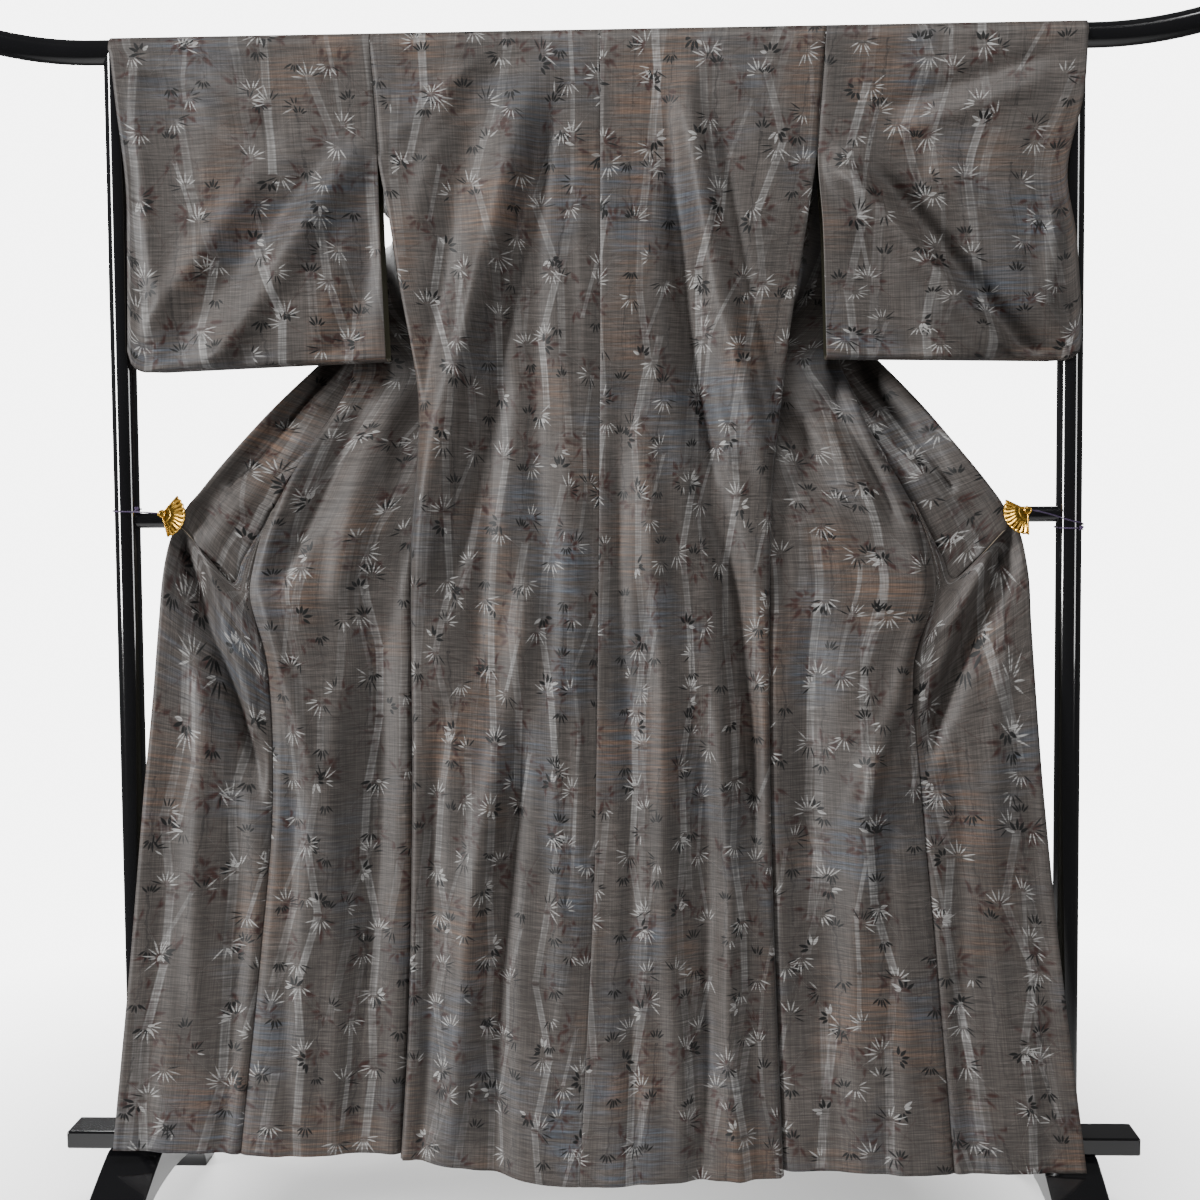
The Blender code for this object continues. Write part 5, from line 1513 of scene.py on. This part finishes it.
def build_pin_and_jaw(side, material):
    """The pin through the fan and the sprung plate behind the cloth."""
    centre = fan_centre(side)
    low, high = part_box("fan_pin_" + side)
    pin = round_bar("clip_pin_" + side, Vector((centre.x, low.y, centre.z)),
                    Vector((centre.x, high.y, centre.z)), (high.z - low.z) / 2 * PIN_SHARE,
                    material, bevel=0.0006)
    finish_piece(pin, "gold", "fan_pin_" + side)
    _, _, first, last = FAN[side]
    middle = (first + last) / 2
    reach = JAW_SIZE[0] / 2 - FAN_HUB
    bm = bmesh.new()
    place = centre + Vector((reach * cos(middle), JAW_Y - FAN_Y, reach * sin(middle)))
    turn = Matrix.Rotation(-middle, 3, "Y").to_quaternion()
    bmesh.ops.create_cube(bm, size=1.0, matrix=Matrix.LocRotScale(place, turn, JAW_SIZE))
    jaw = add_mesh("clip_jaw_" + side, bm, [material])
    add_bevel(jaw, 0.0005)
    finish_piece(jaw, "gold", "jaw_" + side)


def build_tie(side, material):
    """A cord of three twisted strands, tied round the post with a small knot."""
    knots = [Vector(point) for point in CORD_ROUTES[side]]
    route = curve_through(knots, spread(0.0, 1.0, CORD_STEPS))
    length = sum((b - a).length for a, b in zip(route, route[1:]))
    bm = bmesh.new()
    strand_radius = 0.52 * CORD_RADIUS
    for strand in range(CORD_STRANDS):
        points = []
        run = 0.0
        for n, point in enumerate(route):
            ahead = (route[min(n + 1, len(route) - 1)] - route[max(n - 1, 0)]).normalized()
            up = ahead.cross(Vector((0, 0, 1))).normalized()
            out = ahead.cross(up)
            angle = tau * (run / CORD_TWIST + strand / CORD_STRANDS)
            aside = up * cos(angle) + out * sin(angle)
            points.append(point + aside * (CORD_RADIUS - strand_radius))
            run += length / (len(route) - 1)
        sweep(bm, points, strand_radius, 7)
    cord = add_mesh("tie_cord_" + side, closed(bm), [material])
    knot_low, knot_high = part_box("knot_" + side)
    centre = (knot_low + knot_high) / 2
    bm = bmesh.new()
    loops = []
    for n in range(KNOT_STEPS + 1):
        angle = tau * n / KNOT_STEPS
        loops.append(centre + KNOT_LOOP * Vector((
            sin(angle) + 2 * sin(2 * angle), 0.8 * -sin(3 * angle),
            cos(angle) - 2 * cos(2 * angle))))
    sweep(bm, loops, KNOT_STRAND, 10)
    aside, back, down = TAIL_REACH
    for tilt in TAIL_TILTS:
        tail = [centre + Vector((tilt * aside * run, back, down * run))
                for run in spread(0.0, 1.0, 8)]
        sweep(bm, tail, TAIL_STRAND, 8)
    knot = add_mesh("tie_knot_" + side, closed(bm), [material])
    finish_piece(knot, "cord", "knot_" + side)
    finish_piece(cord, "cord", "cord_" + side)
    tuple(route[0])
    [tuple(point) for point in route]


# ------------------------------------------------------------------------ the stage
def add_light(name, place, target, size, power):
    data = bpy.data.lights.new(name, "AREA")
    data.shape = "RECTANGLE"
    data.size, data.size_y = size
    data.energy = power
    light = link_object(name, data)
    light.location = place
    light.rotation_euler = (Vector(target) - Vector(place)).to_track_quat("-Z", "Y").to_euler()


def build_stage(stage):
    """Pale floor that thins out into an even white, soft boxes and the camera."""
    bm = bmesh.new()
    bmesh.ops.create_circle(bm, cap_ends=True, segments=96, radius=FLOOR_RADIUS)
    material, s, surface = new_material("pale_floor")
    place = s.node("TexCoord").outputs["Object"]
    shade = s.cloud(place, (1.2, 1.2, 1.2), 3.0)
    softer = tuple(0.985 * part for part in stage.floor) + (1.0,)
    s.feed(surface.inputs["Base Color"], s.mix(shade, (*stage.floor, 1.0), softer))
    surface.inputs["Roughness"].default_value = 0.7
    reach = s.node("VectorMath", {0: place}, operation="LENGTH").outputs["Value"]
    s.feed(surface.inputs["Alpha"], s.step(reach, *(share * FLOOR_RADIUS for share in FLOOR_FADE)))
    add_mesh("floor", bm, [material])
    world = bpy.data.worlds.new("studio")
    bpy.context.scene.world = world
    world.use_nodes = True
    s = Shader(world.node_tree)
    seen = s.node("LightPath").outputs["Is Camera Ray"]
    sky = world.node_tree.nodes["Background"]
    sky.inputs["Color"].default_value = (1.0, 1.0, 1.0, 1.0)
    s.feed(sky.inputs["Strength"], s.scaled(seen, stage.white - stage.sky, stage.sky))
    for name, place, height, size, share in SOFTBOXES:
        add_light("softbox_" + name, place, (0.0, 0.0, height), size, share * stage.key)
    data = bpy.data.cameras.new("camera")
    data.sensor_width = SENSOR_WIDTH
    data.lens = LENS
    camera = link_object("camera", data)
    turn = (Matrix.Rotation(CAMERA_TURN, 4, "Z") @ Matrix.Rotation(CAMERA_TILT, 4, "X")
            @ Matrix.Rotation(CAMERA_ROLL, 4, "Z"))
    camera.matrix_world = Matrix.Translation(CAMERA_PLACE) @ turn
    bpy.context.scene.camera = camera


# ------------------------------------------------------------------ the add-on itself
class KimonoClothSettings(bpy.types.PropertyGroup):
    wall: FloatProperty(
        name="Cloth wall", description="Shell and lining together", default=0.0012, unit="LENGTH")
    collar_wall: FloatProperty(
        name="Collar wall", description="The collar is folded double", default=0.0020,
        unit="LENGTH")
    ground: FloatVectorProperty(
        name="Ground", description="Colour of the silk between its figures", subtype="COLOR",
        default=(0.0545, 0.0470, 0.0425), min=0.0, max=1.0)
    lining: FloatVectorProperty(
        name="Lining", description="Colour of the inner face", subtype="COLOR",
        default=(0.075, 0.070, 0.042), min=0.0, max=1.0)
    roughness: FloatProperty(
        name="Roughness", description="How dull the silk is", default=0.56, min=0.0, max=1.0)


class KimonoStandSettings(bpy.types.PropertyGroup):
    lacquer: FloatVectorProperty(
        name="Lacquer", description="Colour of the stand", subtype="COLOR",
        default=(0.003, 0.003, 0.0035), min=0.0, max=1.0)
    gloss: FloatProperty(
        name="Gloss", description="Roughness of the lacquer", default=0.07, min=0.0, max=1.0)


class KimonoClipSettings(bpy.types.PropertyGroup):
    gold: FloatVectorProperty(
        name="Gold", description="Colour of the fan clips", subtype="COLOR",
        default=(0.80, 0.46, 0.08), min=0.0, max=1.0)
    cord: FloatVectorProperty(
        name="Cord", description="Colour of the ties", subtype="COLOR",
        default=(0.040, 0.012, 0.080), min=0.0, max=1.0)


class KimonoStageSettings(bpy.types.PropertyGroup):
    floor: FloatVectorProperty(
        name="Floor", description="Colour of the floor", subtype="COLOR",
        default=(0.90, 0.90, 0.90), min=0.0, max=1.0)
    sky: FloatProperty(
        name="Sky", description="Strength of the even light", default=0.08, min=0.0)
    white: FloatProperty(
        name="White", description="Brightness of the empty background", default=6.0, min=0.0)
    key: FloatProperty(
        name="Soft box", description="Power of the main soft box in watts", default=860.0, min=0.0)


class OBJECT_OT_kimono_stage(bpy.types.Operator):
    """Set up the floor, the lights and the camera"""
    bl_idname = "object.kimono_stage"
    bl_label = "Stage"

    def execute(self, context):
        build_stage(context.scene.kimono_stage)
        return {"FINISHED"}


class OBJECT_OT_kimono_ties(bpy.types.Operator):
    """Tie each clip to its post with a twisted cord"""
    bl_idname = "object.kimono_ties"
    bl_label = "Ties"

    def execute(self, context):
        material = make_braid(context.scene.kimono_clips)
        for side, _ in SIDES:
            build_tie(side, material)
        return {"FINISHED"}


class OBJECT_OT_kimono_bodies(bpy.types.Operator):
    """Hang the two body lengths over the beam"""
    bl_idname = "object.kimono_bodies"
    bl_label = "Body lengths"

    def execute(self, context):
        for side, _ in SIDES:
            build_body(side, context.scene.kimono_cloth)
        return {"FINISHED"}


class OBJECT_OT_kimono_overlaps(bpy.types.Operator):
    """Sew the overlaps to the front lengths"""
    bl_idname = "object.kimono_overlaps"
    bl_label = "Overlaps"

    def execute(self, context):
        for side, _ in SIDES:
            build_overlap(side, context.scene.kimono_cloth)
        return {"FINISHED"}


class OBJECT_OT_kimono_sleeves(bpy.types.Operator):
    """Hang the two sleeves over the beam"""
    bl_idname = "object.kimono_sleeves"
    bl_label = "Sleeves"

    def execute(self, context):
        for side, _ in SIDES:
            build_sleeve(side, context.scene.kimono_cloth)
        return {"FINISHED"}


class OBJECT_OT_kimono_collar(bpy.types.Operator):
    """Run the collar round the neck and down both fronts"""
    bl_idname = "object.kimono_collar"
    bl_label = "Collar"

    def execute(self, context):
        build_collar(context.scene.kimono_cloth)
        return {"FINISHED"}


class OBJECT_OT_kimono_stand(bpy.types.Operator):
    """Turn and lacquer the stand"""
    bl_idname = "object.kimono_stand"
    bl_label = "Stand"

    def execute(self, context):
        material = make_lacquer(context.scene.kimono_stand)
        build_beam(material)
        build_posts_and_rail(material)
        build_plank(material)
        for side, sign in SIDES:
            build_foot(side, sign, material)
        return {"FINISHED"}


class OBJECT_OT_kimono_clips(bpy.types.Operator):
    """Clip a gold fan to each end of the collar"""
    bl_idname = "object.kimono_clips"
    bl_label = "Fan clips"

    def execute(self, context):
        material = make_gold(context.scene.kimono_clips)
        for side, _ in SIDES:
            build_fan(side, material)
            build_guards(side, material)
            build_pin_and_jaw(side, material)
        return {"FINISHED"}


OPERATORS = (
    OBJECT_OT_kimono_stage, OBJECT_OT_kimono_ties, OBJECT_OT_kimono_bodies,
    OBJECT_OT_kimono_overlaps, OBJECT_OT_kimono_sleeves, OBJECT_OT_kimono_collar,
    OBJECT_OT_kimono_stand, OBJECT_OT_kimono_clips)
SETTINGS = (
    ("kimono_cloth", KimonoClothSettings), ("kimono_stand", KimonoStandSettings),
    ("kimono_clips", KimonoClipSettings), ("kimono_stage", KimonoStageSettings))


class VIEW3D_PT_kimono(bpy.types.Panel):
    """Lists the pieces and their settings"""
    bl_idname = "VIEW3D_PT_kimono"
    bl_label = "Kimono"
    bl_space_type = "VIEW_3D"
    bl_region_type = "UI"
    bl_category = "Kimono"

    def draw(self, context):
        for name, group in SETTINGS:
            box = self.layout.box()
            for label in group.__annotations__:
                box.prop(getattr(context.scene, name), label)
        for operator in OPERATORS:
            self.layout.operator(operator.bl_idname)


def register():
    for name, group in SETTINGS:
        bpy.utils.register_class(group)
        setattr(bpy.types.Scene, name, PointerProperty(type=group))
    for operator in OPERATORS:
        bpy.utils.register_class(operator)
    bpy.utils.register_class(VIEW3D_PT_kimono)


def unregister():
    bpy.utils.unregister_class(VIEW3D_PT_kimono)
    for operator in reversed(OPERATORS):
        bpy.utils.unregister_class(operator)
    for name, group in reversed(SETTINGS):
        delattr(bpy.types.Scene, name)
        bpy.utils.unregister_class(group)


def main():
    register()
    for operator in OPERATORS:
        group, name = operator.bl_idname.split(".")
        getattr(getattr(bpy.ops, group), name)()


if __name__ == "__main__":
    main()
